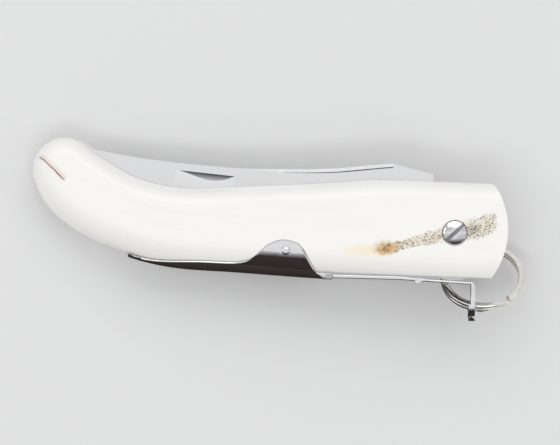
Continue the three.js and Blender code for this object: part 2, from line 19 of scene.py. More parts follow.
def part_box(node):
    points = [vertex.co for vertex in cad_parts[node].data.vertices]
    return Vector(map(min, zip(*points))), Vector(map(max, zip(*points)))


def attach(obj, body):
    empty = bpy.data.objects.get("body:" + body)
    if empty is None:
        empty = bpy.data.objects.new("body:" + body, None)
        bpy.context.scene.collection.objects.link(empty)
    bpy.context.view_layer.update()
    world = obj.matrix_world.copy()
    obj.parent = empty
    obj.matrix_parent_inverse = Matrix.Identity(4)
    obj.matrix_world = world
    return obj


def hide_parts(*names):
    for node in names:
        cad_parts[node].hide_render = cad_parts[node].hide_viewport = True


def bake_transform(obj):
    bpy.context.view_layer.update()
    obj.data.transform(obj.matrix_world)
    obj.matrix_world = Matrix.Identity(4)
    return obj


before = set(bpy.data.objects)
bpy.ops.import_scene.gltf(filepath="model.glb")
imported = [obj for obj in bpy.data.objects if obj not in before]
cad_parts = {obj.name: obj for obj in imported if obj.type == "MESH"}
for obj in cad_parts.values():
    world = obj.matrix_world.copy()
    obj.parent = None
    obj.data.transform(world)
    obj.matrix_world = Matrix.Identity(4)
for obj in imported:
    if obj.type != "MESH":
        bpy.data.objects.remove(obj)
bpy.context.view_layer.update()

# %% [markdown]
# ## One set of coordinates
#
# The knife was drawn around the screw that the blade turns on, so it is easiest to keep thinking that
# way: x runs along the handle, y runs from the back spring up to the blade, and z is the height above the
# middle of the handle's thickness, all in millimetres. Two solids tell us where that point is in the
# frame. `place` then turns a point of the knife into a point of the frame.

# %% Find the pivot
MM = 0.001
screw_low, screw_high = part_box("pivot_screw")
blade_low, blade_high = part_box("blade")
PIVOT = Vector((
    (screw_low[0] + screw_high[0]) / 2,
    (screw_low[1] + screw_high[1]) / 2,
    (blade_low[2] + blade_high[2]) / 2,
))


def place(x, y, z=0.0):
    """A point of the knife, in millimetres from the pivot, as a point of the frame in metres."""
    return PIVOT + Vector((x, y, z)) * MM


def add_object(name, data):
    """A new object in the scene."""
    item = bpy.data.objects.new(name, data)
    bpy.context.scene.collection.objects.link(item)
    return item


print("pivot at", [round(v, 5) for v in PIVOT])

# %% [markdown]
# ## The camera
#
# The picture was taken from straight above, so the camera hangs over the knife and looks down. It hangs
# four metres up with a long lens, because near and far edges of the knife hardly shift against each other
# in the picture. A pixel is 0.28 mm on the knife. The camera comes first, because everything after it is
# compared through it.

# %% Hang the camera
PIXEL_MM = 0.28
PICTURE = (560, 445)
PIVOT_PIXEL = (454.5, 232.8)
CAMERA_HEIGHT = 4.0

camera_data = bpy.data.cameras.new("camera")
camera = add_object("camera", camera_data)
middle_x = (PICTURE[0] / 2 - PIVOT_PIXEL[0]) * PIXEL_MM
middle_y = (PIVOT_PIXEL[1] - PICTURE[1] / 2) * PIXEL_MM
camera.location = place(middle_x, middle_y) + Vector((0, 0, CAMERA_HEIGHT))
camera_data.sensor_fit = "HORIZONTAL"
camera_data.lens = camera_data.sensor_width * CAMERA_HEIGHT / (PICTURE[0] * PIXEL_MM * MM)
camera_data.clip_start = 0.01
camera_data.clip_end = 20
bpy.context.scene.camera = camera
bpy.context.scene.view_settings.view_transform = "Standard"
print("lens", round(camera_data.lens, 1), "mm")

# %% [markdown]
# ## Small tools for shapes
#
# Most pieces of a knife are outlines with a thickness, so a few helpers go a long way: a smooth line
# through chosen points, an arc, a body through a row of sections, a plate cut from an outline, a turned
# piece, and a boolean that cuts one piece with another and leaves a plain mesh.

# %% Helpers for lines


def smooth_line(points, steps):
    """Points at even distances on a Catmull-Rom line through the given ones."""
    knots = np.array(points, float)
    before = 2 * knots[0] - knots[1]
    after = 2 * knots[-1] - knots[-2]
    padded = np.vstack([before, knots, after])
    dense = []
    for i in range(1, len(padded) - 2):
        a, b, c, d = padded[i - 1:i + 3]
        for t in np.linspace(0, 1, 40, endpoint=False):
            dense.append(
                0.5 * (2 * b + (c - a) * t + (2 * a - 5 * b + 4 * c - d) * t**2
                       + (3 * b - a - 3 * c + d) * t**3)
            )
    dense.append(knots[-1])
    dense = np.array(dense)
    length = np.r_[0, np.cumsum(np.hypot(*np.diff(dense, axis=0).T))]
    even = np.linspace(0, length[-1], steps + 1)
    return np.c_[np.interp(even, length, dense[:, 0]), np.interp(even, length, dense[:, 1])]


def arc_line(centre, radius, start, end, steps):
    """Points of an arc, angles in degrees, both ends included."""
    angles = np.radians(np.linspace(start, end, steps + 1))
    return np.c_[centre[0] + radius * np.cos(angles), centre[1] + radius * np.sin(angles)]


def normals_of(outline):
    """The outward normals of a counterclockwise outline."""
    along = np.roll(outline, -1, axis=0) - np.roll(outline, 1, axis=0)
    along /= np.linalg.norm(along, axis=1)[:, None]
    return np.c_[along[:, 1], -along[:, 0]]


def left_of(line):
    """The unit normals on the left of an open line."""
    along = np.gradient(line, axis=0)
    along /= np.linalg.norm(along, axis=1)[:, None]
    return np.c_[-along[:, 1], along[:, 0]]


# %% [markdown]
# The helpers for meshes come next. Booleans leave untidy vertices, so each one is settled into a plain
# mesh at once, and the edges are rounded only when a piece is complete.

# %% Helpers for meshes


def new_piece(name, points, faces):
    """A mesh object from points in millimetres around the pivot, its faces turned outwards."""
    mesh = bpy.data.meshes.new(name)
    mesh.from_pydata([tuple(place(*p)) for p in points], [], faces)
    work = bmesh.new()
    work.from_mesh(mesh)
    bmesh.ops.remove_doubles(work, verts=work.verts, dist=1e-7)
    bmesh.ops.recalc_face_normals(work, faces=work.faces)
    work.to_mesh(mesh)
    work.free()
    return add_object(name, mesh)


def loft(name, sections):
    """A body through sections with equal numbers of points, closed at both ends."""
    count = len(sections[0])
    last = (len(sections) - 1) * count
    faces = [tuple(range(count))[::-1], tuple(range(last, last + count))]
    for start in range(0, last, count):
        for i in range(count):
            a, b = start + i, start + (i + 1) % count
            faces.append((a, b, b + count, a + count))
    return new_piece(name, [point for section in sections for point in section], faces)


def plate(name, outline, low, high):
    """An outline in the plane of the knife, given a thickness along z."""
    return loft(name, [[(x, y, z) for x, y in outline] for z in (low, high)])


def along_x(name, outline_yz, low, high):
    """An outline in y and z, given a length along x."""
    return loft(name, [[(x, y, z) for y, z in outline_yz] for x in (low, high)])


def turned(name, centre, profile, sides=96):
    """A piece turned about a line along z: its profile is pairs of radius and height."""
    points, faces = [], []
    for i in range(sides):
        angle = 2 * math.pi * i / sides
        for radius, height in profile:
            points.append((
                centre[0] + radius * math.cos(angle),
                centre[1] + radius * math.sin(angle),
                height,
            ))
    rows = len(profile)
    for i in range(sides):
        for j in range(rows - 1):
            a, b = i * rows + j, ((i + 1) % sides) * rows + j
            faces.append((a, b, b + 1, a + 1))
    return new_piece(name, points, faces)


def settle(piece):
    """Turns a piece and its modifiers into a plain mesh, and removes the modifiers."""
    bpy.context.view_layer.update()
    graph = bpy.context.evaluated_depsgraph_get()
    mesh = bpy.data.meshes.new_from_object(piece.evaluated_get(graph))
    old = piece.data
    piece.modifiers.clear()
    piece.data = mesh
    bpy.data.meshes.remove(old)
    return piece


def combine(piece, tools, operation="DIFFERENCE"):
    """Cuts or joins a piece with others, which are then removed."""
    for tool in tools:
        modifier = piece.modifiers.new("combine", "BOOLEAN")
        modifier.operation = operation
        modifier.solver = "EXACT"
        modifier.object = tool
    settle(piece)
    for tool in tools:
        bpy.data.objects.remove(tool)
    return piece


def mark_faces(piece, test):
    """Opens two empty material slots, the second one for the faces whose middle passes a test."""
    piece.data.materials.clear()
    for _ in range(2):
        piece.data.materials.append(None)
    for face in piece.data.polygons:
        face.material_index = int(test(*((face.center - PIVOT) / MM), face.normal))


def soften(piece, width, segments=2, angle=35, clamp=True):
    """Rounds the sharp edges of a piece a little, so that they catch the light, and shades it smooth."""
    if width:
        modifier = piece.modifiers.new("soften", "BEVEL")
        modifier.width = width * MM
        modifier.segments = segments
        modifier.limit_method = "ANGLE"
        modifier.angle_limit = math.radians(angle)
        modifier.use_clamp_overlap = clamp
        settle(piece)
    mesh = piece.data
    mesh.shade_smooth()
    mesh.set_sharp_from_angle(angle=math.radians(angle))
    return piece


# %% [markdown]
# ## The handle's outline
#
# The handle is one piece of bone, so one outline carries it: a round butt, a long hollow on the blade's
# side, a bellied back, and an end that is sawn to a shallow arc. The outline first runs on past that end,
# so that the rounding of its sides doesn't turn the corner there.

# %% Draw the outline
HALF = 8.0
FRONT_HALF = 7.0
BUTT_HALF = 6.8
BACK_ROUND = 8.0
BLADE_SIDE_ROUND = 5.0
PAST_FRONT = 30

butt = arc_line((-109.1, 17.6), 9.06, 50, 190, 48)
back_line = smooth_line(
    [tuple(butt[-1]), (-116.1, 10.9), (-112.7, 6.1), (-107.7, 1.9), (-102.1, -1.4), (-96.5, -3.9),
     (-88.1, -6.9), (-77, -9.1), (-60, -10.3), (-34.3, -12.2), (0, -14.1), (PAST_FRONT, -15.2)],
    150,
)
end_bow = arc_line((PAST_FRONT, -0.9), 14.3, -90, 90, 16)
blade_side_line = smooth_line(
    [(PAST_FRONT, 13.4), (9.7, 13.9), (-4.1, 14.4), (-22, 14.9), (-35, 14.1), (-60.1, 13),
     (-71.3, 12.5), (-79.7, 13.1), (-89.5, 15.8), (-99.3, 21.4), tuple(butt[0])],
    150,
)
outline = np.vstack([butt[:-1], back_line[:-1], end_bow, blade_side_line[1:-1]])
print("outline of", len(outline), "points")

# %% [markdown]
# ## A body with rounded sides
#
# A bone handle is a slab whose edges have been rounded by grinding. So the widest level is the outline
# itself, and every level above or below it draws in along a quarter circle, deeper on the back than on
# the blade's side. The flat faces are then cut into a grid and given a slight crown, and the whole body
# thins a little towards both ends, as the hand wants it.

# %% Make rounded bodies


def half_at(x):
    """Half of the handle's thickness along its length."""
    toward_front = np.clip((x + 26) / 38, 0, None)
    toward_butt = np.clip((-88 - x) / 30, 0, 1)
    return HALF - (HALF - FRONT_HALF) * toward_front - (HALF - BUTT_HALF) * toward_butt**1.6


def pillow(name, offset, extra, levels=36, crown=0.22):
    """The handle's body, grown by an offset in plan and by some extra thickness."""
    normals = normals_of(outline)
    rounds = BLADE_SIDE_ROUND + (BACK_ROUND - BLADE_SIDE_ROUND) * (1 - normals[:, 1]) / 2 + offset
    sections = []
    for k in range(levels + 1):
        angle = -math.pi / 2 + math.pi * k / levels
        shift = offset - rounds * (1 - math.cos(angle))
        sections.append([(x, y, math.sin(angle)) for x, y in outline + normals * shift[:, None]])
    piece = loft(name, sections)
    work = bmesh.new()
    work.from_mesh(piece.data)
    for x in np.arange(-114, 20, 4.0):
        cut_grid(work, (x, 0, 0), (1, 0, 0))
    for y in np.arange(-9, 24, 3.0):
        cut_grid(work, (0, y, 0), (0, 1, 0))
    for vertex in work.verts:
        x, y, level = (vertex.co - PIVOT) / MM
        fall = crown * (1 - math.sqrt(max(0.0, 1 - level**2))) * crown_fall(x, y)
        vertex.co.z = PIVOT.z + (level * (half_at(x) + extra) - math.copysign(fall, level)) * MM
    work.to_mesh(piece.data)
    work.free()
    return piece


def cut_grid(work, point, normal):
    """Adds a line of vertices across the flat faces, so that they can be bent."""
    flat = [face for face in work.faces if abs(face.normal.z) > 0.99]
    edges = {edge for face in flat for edge in face.edges}
    verts = {vertex for face in flat for vertex in face.verts}
    bmesh.ops.bisect_plane(
        work,
        geom=[*verts, *edges, *flat],
        dist=1e-7,
        plane_co=place(*point),
        plane_no=normal,
    )


STATIONS = np.arange(-118, 31)
CROWN_REACH = 11
middle_line = (
    np.interp(STATIONS, back_line[:, 0], back_line[:, 1])
    + np.interp(STATIONS, blade_side_line[::-1, 0], blade_side_line[::-1, 1])
) / 2


def crown_fall(x, y):
    """How far a point lies from the middle of the handle's side, squared, 1 near its edges."""
    centre = np.interp(x, STATIONS, middle_line)
    return min(1.0, ((y - centre) / CROWN_REACH) ** 2)


# %% [markdown]
# ## Cutting the handle
#
# The maker saws the slot for the blade, files the flat for the spring, sinks the seats for the screw and
# lets the spring's saddle into the back. Booleans do the same here, with tools of the same shapes. All
# outlines that pieces share are drawn first, so that a seat and what lies in it can't drift apart.

# %% Outlines of the cuts
FRONT_CENTRE = (-7.67, 1.07)
FRONT_RADIUS = 22.57
FRONT_CORNER_X = 9.8
SADDLE_END = -34.3
SADDLE_GAP = 0.12
CORE_INSET = 0.45
CORE_THINNER = 0.6
BACK_FLAT_Y = -11.06
BACK_FLAT_SLOPE = -0.0371
TANG_RADIUS = 13.25
BLADE_HALF = 1.3
SLOT_HALF = 1.65
EDGE_CLEARANCE = 1.6
PIVOT_BORE = 2.6
RIVET = (-47.2, -5.0)
RIVET_BORE = 0.9
PAST = 20  # cutting tools reach this far to either side of the middle

BLADE_TIP = (-108.8, 25)
SPINE = [BLADE_TIP, (-101.4, 23.5), (-90.9, 21.4), (-79.7, 19.8), (-71.3, 19), (-62.9, 18.2),
         (-54.5, 17.9), (-43.3, 17.8), (-34.9, 17.95), (-29.3, 18.35), (-20.5, 19.14), (-17.2, 19.33)]
EDGE = [BLADE_TIP, (-107.2, 20.6), (-104.3, 15.8), (-99.8, 11.2), (-92.7, 6.7), (-82.5, 2.4),
        (-71.3, -0.2), (-57.3, -1.5), (-43.3, -1.7), (-31, -1.7), (-16.4, -1.6)]


def back_flat(x, gap=0.0):
    """The flat along the back that the leaf lies over."""
    return BACK_FLAT_Y + BACK_FLAT_SLOPE * (x - SADDLE_END) - gap


def plan_outline():
    """What the saw and the file leave of the blank, in plan."""
    low = math.degrees(math.asin((back_flat(10.2) - FRONT_CENTRE[1]) / FRONT_RADIUS))
    high = math.degrees(math.acos((FRONT_CORNER_X + 1.6 - FRONT_CENTRE[0]) / FRONT_RADIUS))
    front = arc_line(FRONT_CENTRE, FRONT_RADIUS, low, high, 60)
    return [(-150, -60), (-62, -60), (-62, back_flat(-62)), *front,
            (FRONT_CORNER_X, 14.1), (FRONT_CORNER_X, 60), (-150, 60)]


def slot_outline():
    """The blade's slot: it follows the edge, opens round the tang and leaves through the back."""
    edge = smooth_line(EDGE, 80)
    floor = edge - left_of(edge) * EDGE_CLEARANCE
    floor = floor[(edge[:, 0] < -TANG_RADIUS - 3)]
    well = arc_line((0, 0), TANG_RADIUS + 0.5, 194, 242, 24)
    return [(-106.5, 40), (-106.5, 26.4), (-109.6, 25.9), (-110.6, 24.9), *floor,
            *well, (well[-1][0], -40), (40, -40), (40, 40)]


SADDLE_EDGE = smooth_line(
    [(-91.4, -5.9), (-88.1, -6.8), (-82.5, -7.65), (-71.3, -7.8), (-62.9, -8.15), (-59.4, -7.95),
     (-56.6, -7), (-54.2, -5.2), (-52.2, -3.4), (-48.3, -2.05), (-44.3, -2.9), (-42.4, -4.6),
     (-40.9, -7.2), (-38.7, -11), (-36.9, -12.6)],
    140,
)


def saddle_outline(grow=0.0):
    """The saddle in plan, with its ear, grown by a gap for its seat."""
    edge = SADDLE_EDGE + left_of(SADDLE_EDGE) * grow
    start = (SADDLE_EDGE[0][0] - grow, SADDLE_EDGE[0][1] + grow / 2)
    end = SADDLE_END + grow
    return [start, *edge[1:], (end, edge[-1][1]), (end, -40), (start[0], -40)]


def saddle_core(gap):
    """The body that the saddle's inside fits round."""
    core = pillow("core", -CORE_INSET - gap, -CORE_THINNER - gap)
    above = [(-150, back_flat(-150, 2 * SADDLE_GAP - gap)), (40, back_flat(40, 2 * SADDLE_GAP - gap)),
             (40, 60), (-150, 60)]
    return combine(core, [plate("above", above, -PAST, PAST)], "INTERSECT")


def rod(name, centre, radius, low, high, sides=64):
    """A plain round tool along z."""
    return turned(name, centre, [(0, low), (radius, low), (radius, high), (0, high)], sides)


print("saddle edge of", len(SADDLE_EDGE), "points")

# %% [markdown]
# ## The handle
#
# At the slot's mouth, beside the blade's tip, the cheek behind the blade stands out a little past the near
# one, as a hand-sawn slot leaves it. So a second, slightly fuller body is joined to the handle there, on
# the far side of the slot only.

# %% Let the far cheek stand out at the slot's mouth
LIP_ALONG = [(-108.5, 0), (-106.5, 0.2), (-104.5, 0.6), (-101.8, 1.0), (-98, 0)]


def far_cheek():
    """The cheek behind the blade: the same rounded body, a little fuller beside the blade's tip."""
    xs, depths = zip(*LIP_ALONG)
    grow = np.where(outline[:, 1] > 18, np.interp(outline[:, 0], xs, depths), 0) - 0.02
    cheek = pillow("far_cheek", grow, -0.02)
    reach = [(-130, 10), (-90, 10), (-90, 40), (-130, 40)]
    return combine(cheek, [plate("reach", reach, -PAST, -SLOT_HALF)], "INTERSECT")


# %% [markdown]
# Now the handle itself. It is cut to its plan first, and then by the slot, the saddle's seat and the
# bores. Its edges are broken only a little, as polishing leaves them.

# %% Make the handle
HEAD_RADIUS = 3.5
HEAD_GAP = 0.1
HEAD_SINK = 1.2
SIDE_AT_PIVOT = float(half_at(0.0))

handle = pillow("handle_bone", 0, 0, levels=48)
combine(handle, [far_cheek()], "UNION")
combine(handle, [plate("plan", plan_outline(), -PAST, PAST)], "INTERSECT")
seat = plate("seat", saddle_outline(SADDLE_GAP), -PAST, PAST)
combine(seat, [saddle_core(SADDLE_GAP)])
combine(handle, [
    plate("slot", slot_outline(), -SLOT_HALF, SLOT_HALF),
    seat,
    rod("bore", (0, 0), PIVOT_BORE, -PAST, PAST),
    rod("near_seat", (0, 0), HEAD_RADIUS + HEAD_GAP, SIDE_AT_PIVOT - HEAD_SINK, PAST, 128),
    rod("far_seat", (0, 0), HEAD_RADIUS + HEAD_GAP, -PAST, HEAD_SINK - SIDE_AT_PIVOT, 128),
    rod("rivet_bore", RIVET, RIVET_BORE, -PAST, PAST),
])
soften(handle, 0.12, 2, 40)
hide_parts("handle")
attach(handle, "grip")
print("handle", len(handle.data.polygons), "faces")

# %% [markdown]
# ## The blade
#
# A blade is cut from a flat bar and then ground, and the mesh is made in the same order. First comes a
# plate with the blade's outline: spine, step, tang disc with its cam-shaped lock tooth, and edge. Then a
# second body, the grind, says how thick the steel is allowed to be at each place, and the blade is what
# the two have in common. Across the grind there are the spine's bevel, which fades out towards the tip,
# the flat, and the long slope down to the edge. The flat lies a little lower than the bevel's foot. That
# small step, whose wall is painted dark as painted shade, is the dark ground line under the bevel, and it
# fades out towards the tip as well.

# %% Shape the grind
BEVEL_ALONG = [(-108.8, 0.25), (-62, 0.3), (-55, 0.5), (-48.5, 0.85), (-42, 0.95), (-30, 0.95),
               (-17.2, 0.9)]
SPINE_HALF_ALONG = [(-108.8, 1.27), (-62, 1.27), (-55, 1.19), (-48.5, 1.1), (-40, 1.05), (-17.2, 1.06)]
SUNK = 0.15
SUNK_ALONG = [(-62, 0), (-52, 0.004), (-47, 0.03), (-38, 0.1), (-30, SUNK), (-17.2, SUNK)]
SUNK_STEP = 0.3
GRIND_SHARE = 0.42
EDGE_HALF = 0.12
PLUNGE_X = -17.7


def value_along(x, pairs):
    """A value that changes evenly between given places."""
    return float(np.interp(x, *zip(*pairs)))


def grind_section(spine, edge, ground):
    """Half of the grind's section from past the spine to past the edge: distances and half thickness."""
    across = float(np.hypot(*(edge - spine)))
    bevel = value_along(spine[0], BEVEL_ALONG)
    top = value_along(spine[0], SPINE_HALF_ALONG)
    full = min(BLADE_HALF, 0.55 + 0.12 * across)
    sunk = value_along(spine[0], SUNK_ALONG)
    thick = full - sunk
    foot = bevel + SUNK_STEP * max(0.1, sunk / SUNK)
    top = min(top, full * 0.98)
    flat = max(bevel + SUNK_STEP + 0.1, GRIND_SHARE * across)
    slope = (full - top) / bevel
    rows = [(-0.5, max(0.3, top - 0.3 * slope)), (0, top), (bevel, full), (foot, thick),
            (foot + 0.05, thick), (flat, thick)]
    for t in (0.25, 0.5, 0.75, 1.0):
        rows.append((flat + (across - flat) * t, thick + ground * (EDGE_HALF - thick) * t ** 1.12))
    rows.append((across + 0.8, 0.03) if ground else (across + 16, thick))
    return rows, (edge - spine) / across


def both_sides(near):
    """A section on the near side, closed with its mirror image on the far side."""
    return near + [(x, y, -z) for x, y, z in reversed(near)]


def grind_body():
    """The body that the plate is ground to, a loft of sections from the tip to past the tang."""
    spine, edge = smooth_line(SPINE, 600), smooth_line(EDGE, 600)
    sections = []
    steps = 170
    for i in sorted({max(2, round((k / steps) ** 1.4 * 600)) for k in range(1, steps + 1)}):
        rows, down = grind_section(spine[i], edge[i], spine[i][0] < PLUNGE_X)
        sections.append(both_sides([(*(spine[i] + down * w), z) for w, z in rows]))
    for shift in (0.4, 40.0):
        past = [(*(spine[-1] + down * w + (shift, 0)), BLADE_HALF - SUNK) for w, _ in rows]
        sections.append(both_sides(past))
    return loft("grind", sections)


# %% [markdown]
# The plate's outline goes round the tang disc, up its small lock tooth and over the neck to the step,
# which stops the open blade at the lug. From there it follows the spine to the tip and the edge back.

# %% Shape the plate
STEP_X = -5.95
STEP_TOP = 16.4
TOOTH = (82, 93, 14.1)


def blade_outline():
    """The blade and its tang as one outline, counterclockwise."""
    low, high, radius = TOOTH
    disc = arc_line((0, 0), TANG_RADIUS, -173, low, 120)
    tooth = []
    for share in np.linspace(0.1, 1, 12):
        angle = math.radians(low + (high - low) * share)
        reach = TANG_RADIUS + (radius - TANG_RADIUS) * math.sqrt(share)
        tooth.append((reach * math.cos(angle), reach * math.sin(angle)))
    step_angle = math.degrees(math.acos(STEP_X / TANG_RADIUS))
    neck = arc_line((0, 0), TANG_RADIUS, high, step_angle, 16)
    spine = smooth_line(SPINE, 200)[::-1]
    edge = smooth_line(EDGE, 200)
    return [*disc, *tooth, *neck, (STEP_X, STEP_TOP),
            *spine[:-1], *edge]


# %% [markdown]
# The nail nick is cut last, with a crescent tool that is deepest close to its straight upper side, as a
# round cutter held at an angle leaves it. The little wall of the ground line is painted dark, as painted
# shade.

# %% Make the blade
NICK_MIDDLE = (-69.85, 16.72)
NICK_LENGTH = 16.9
NICK_WIDTH = 2.05
NICK_DEPTH = 0.55
NICK_TURN = math.radians(-6.3)
NICK_SECTION = [(0.0, 0.0), (0.05, 0.7), (0.12, 1.0), (0.25, 0.93), (0.4, 0.74), (0.55, 0.5),
                (0.7, 0.29), (0.85, 0.11), (1.0, 0.0)]
GROUND_LINE_FROM = -48


def nick_tool():
    """A crescent hollow: steep along its straight side, and run out at its round side."""
    sections = []
    steps = 60
    for i in range(steps + 1):
        share = 0.005 + 0.99 * i / steps
        bow = NICK_WIDTH * math.sin(math.pi * share ** 1.5) ** 0.9
        deep = NICK_DEPTH * bow / NICK_WIDTH
        along = (share - 0.5) * NICK_LENGTH
        sections.append([
            (NICK_MIDDLE[0] + along * math.cos(NICK_TURN) - y * math.sin(NICK_TURN),
             NICK_MIDDLE[1] + along * math.sin(NICK_TURN) + y * math.cos(NICK_TURN),
             BLADE_HALF + z)
            for y, z in [(0.0, 0.5), *((-bow * u, -deep * v) for u, v in NICK_SECTION), (-bow, 0.5)]
        ])
    return loft("nick_tool", sections)


def painted_shade_wall(x, y, z, normal):
    """Whether a face is the little wall of the ground line, which is painted dark as painted shade."""
    return GROUND_LINE_FROM < x < SPINE[-1][0] and y > 14 and abs(z) > 1.1 and normal.y < -0.25


blade = plate("blade_satin_steel", blade_outline(), -3, 3)
combine(blade, [grind_body()], "INTERSECT")
combine(blade, [rod("blade_bore", (0, 0), PIVOT_BORE, -5, 5), nick_tool()])
soften(blade, 0.04, 1, 18)
# the ground line's wall gets the second slot, for its painted shade
mark_faces(blade, painted_shade_wall)
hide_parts("blade")
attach(blade, "blade")
print("blade", len(blade.data.polygons), "faces")

# %% [markdown]
# ## The back spring's saddle
#
# The saddle is sheet steel pressed round the handle's back. It is the same rounded body once more, grown
# by nine tenths of a millimetre, with the handle's own shape taken out of its inside. Its rim is ground
# narrow and bright, level along the tail and sloping beside the ear. The cutter for it has to follow the
# curved steel, so a ray from above finds the surface's height at each step along the edge.

# %% Make the saddle
LEAF_HALF = 4.699
PROUD_HALF = LEAF_HALF + 0.03  # polished ends stand a hair proud of the leaf's sides
SADDLE_GROW = 0.9
SADDLE_EXTRA = 0.4
SADDLE_CROWN = 0.42
RIM_WIDTH = 0.45
RIM_STEP = 0.02
RIM_PAST_EDGE = 0.3
RIM_RUN_OUT = 5  # steps along the edge over which the rim narrows to nothing
TAIL_RIM = (-90.9, -56.5, 0.02)
EAR_RIM = (-44.2, -38.0, 0.7)
SADDLE_END_FACE = [(-36.2, -12.8), (SADDLE_END, -12.8), (SADDLE_END, -11.45), (-36.2, -11.45)]


def tongue():
    """The flat end of the saddle, as wide as the leaf."""
    start = SADDLE_END - 4.5
    inner = 2 * SADDLE_GAP
    side = [(start, back_flat(start, inner + 0.2)), (start, back_flat(start, inner)),
            (SADDLE_END, back_flat(SADDLE_END, inner)), (SADDLE_END, back_flat(SADDLE_END, inner + 1.5))]
    return plate("tongue", side, -LEAF_HALF, LEAF_HALF)


def rim_tools(piece, low, high, drop):
    """Two cutters that grind a rim along a stretch of the saddle's edge, one on each side of the knife."""
    work = bmesh.new()
    work.from_mesh(piece.data)
    bmesh.ops.triangulate(work, faces=work.faces)
    surface = BVHTree.FromBMesh(work)
    work.free()
    edge = SADDLE_EDGE[(SADDLE_EDGE[:, 0] > low) & (SADDLE_EDGE[:, 0] < high)]
    outwards = left_of(edge)
    steps = np.arange(len(edge))
    width = RIM_WIDTH * np.clip(np.minimum(steps, steps[::-1]) / RIM_RUN_OUT, 0.03, 1)
    inside = edge - outwards * width[:, None]
    hits = [surface.ray_cast(place(*point, 30), Vector((0, 0, -1)))[0] for point in inside]
    heights = np.pad([(hit.z - PIVOT.z) / MM for hit in hits], 3, mode="edge")
    heights = np.convolve(heights, np.full(7, 1 / 7), mode="valid") - RIM_STEP
    near = [
        [(*inner, height), (*outer, height - drop), (*outer, height + 3), (*inner, height + 3)]
        for inner, outer, height in zip(inside, edge + outwards * RIM_PAST_EDGE, heights)
    ]
    far = [[(x, y, -z) for x, y, z in section] for section in near]
    return [loft("rim_near", near), loft("rim_far", far)]


saddle = pillow("spring_saddle_steel", SADDLE_GROW, SADDLE_EXTRA, levels=48, crown=SADDLE_CROWN)
combine(saddle, [plate("saddle_plan", saddle_outline(), -PAST, PAST)], "INTERSECT")
combine(saddle, [saddle_core(0.0)])
combine(saddle, [*rim_tools(saddle, *TAIL_RIM), *rim_tools(saddle, *EAR_RIM)])
combine(saddle, [tongue()], "UNION")
combine(saddle, [rod("saddle_bore", RIVET, RIVET_BORE, -PAST, PAST)])
soften(saddle, 0.05, 2, 15)
combine(saddle, [plate("saddle_end", SADDLE_END_FACE, -PROUD_HALF, PROUD_HALF)], "UNION")
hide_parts("spring_saddle")
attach(saddle, "grip")
print("saddle", len(saddle.data.polygons), "faces")

# %% [markdown]
# ## The leaf
#
# The leaf is the thin strip that goes on from the saddle to the lug, which is its own end bent over and
# bored for the ring. On the real knife it bends when the ring is pulled, so the strip is cut into many
# short lengths here. The small cross rib is part of the strip, with a flat polished end that catches the
# light.

# %% Make the leaf
LEAF_START_X = SADDLE_END + 0.02
LUG_FRONT = 5.8
LUG_THICK = 1.3
LUG_HOLE_Y = -20.0
LUG_HOLE = 2.8
LUG_LIP = 0.75
BEND_RADIUS = 1.3
RIB_HEIGHT = 0.6
RIB_END = [(-11.1, -12.6), (-11.15, -13.5), (-10.9, -14.0), (-10.4, -14.1), (-9.6, -13.85),
           (-9.1, -13.3), (-9.0, -12.6)]
LOCK_WINDOW = [(-2.14, -16), (0.89, -16), (0.89, -12), (-2.14, -12)]


def leaf_side():
    """The strip seen from the side, from the saddle to the lug's end, in short lengths."""
    inner_x = [LEAF_START_X, -15.3, -8.5, LUG_FRONT - BEND_RADIUS]
    inner_y = [-11.59, -12.12, -12.9, -13.78]
    outer_x = [LEAF_START_X, -15.3, -8.5, LUG_FRONT - LUG_THICK]
    outer_y = [-12.64, -13.17, -13.62, -14.5]
    xs = np.linspace(LEAF_START_X, outer_x[-1], 80)
    outer = [(x, float(np.interp(x, outer_x, outer_y)) - rib_height(x)) for x in xs]
    inner = [(x, float(np.interp(x, inner_x, inner_y))) for x in xs if x < inner_x[-1] - 0.05]
    bend = arc_line((LUG_FRONT - BEND_RADIUS, inner_y[-1] - BEND_RADIUS), BEND_RADIUS, 0, 90, 10)
    low = LUG_HOLE_Y - LEAF_HALF
    back = LUG_FRONT - LUG_THICK
    lip = back - LUG_LIP
    lug = [(back, LUG_HOLE_Y), (lip, LUG_HOLE_Y - LUG_LIP / 2), (lip, low), (LUG_FRONT, low)]
    return [*outer, *lug, *bend, *reversed(inner)]


def rib_height(x):
    """The small cross rib: steep on the saddle's side, sloping towards the lug."""
    rise = np.interp(x, [-11.2, -10.9, -10.0, -8.9], [0, 1, 0.85, 0])
    return RIB_HEIGHT * float(rise)


def lug_shape():
    """The strip's width and the lug's round end, as a tool that runs along x."""
    end = arc_line((LUG_HOLE_Y, 0), LEAF_HALF, 90, 270, 60)
    across = [(0, -LEAF_HALF), (0, LEAF_HALF), *end]
    return along_x("lug_shape", across, -60, 20)


leaf = plate("spring_leaf_steel", leaf_side(), -LEAF_HALF - 0.5, LEAF_HALF + 0.5)
combine(leaf, [lug_shape()], "INTERSECT")
hole = along_x("hole", arc_line((LUG_HOLE_Y, 0), LUG_HOLE, 0, 354, 59), 2, 8)
combine(leaf, [hole, plate("window", LOCK_WINDOW, -1.45, 1.45)])
soften(leaf, 0.28, 4, 40, clamp=False)
combine(leaf, [plate("rib_end", RIB_END, -PROUD_HALF, PROUD_HALF)], "UNION")
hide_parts("spring_leaf")
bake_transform(leaf)
print("leaf", len(leaf.data.polygons), "faces")

# %% [markdown]
# ## Screw, nut and rivet
#
# These are turned on a lathe, so a profile says everything: a short straight rim, a dome and, for the
# screw and its nut, a slot for the screwdriver, whose sides get a duller finish of their own. The rivet's
# head is closed by a hammer instead and has no slot. Geometry Nodes could place many of them, but here are
# only two heads of each kind, so the profile is turned once and mirrored.

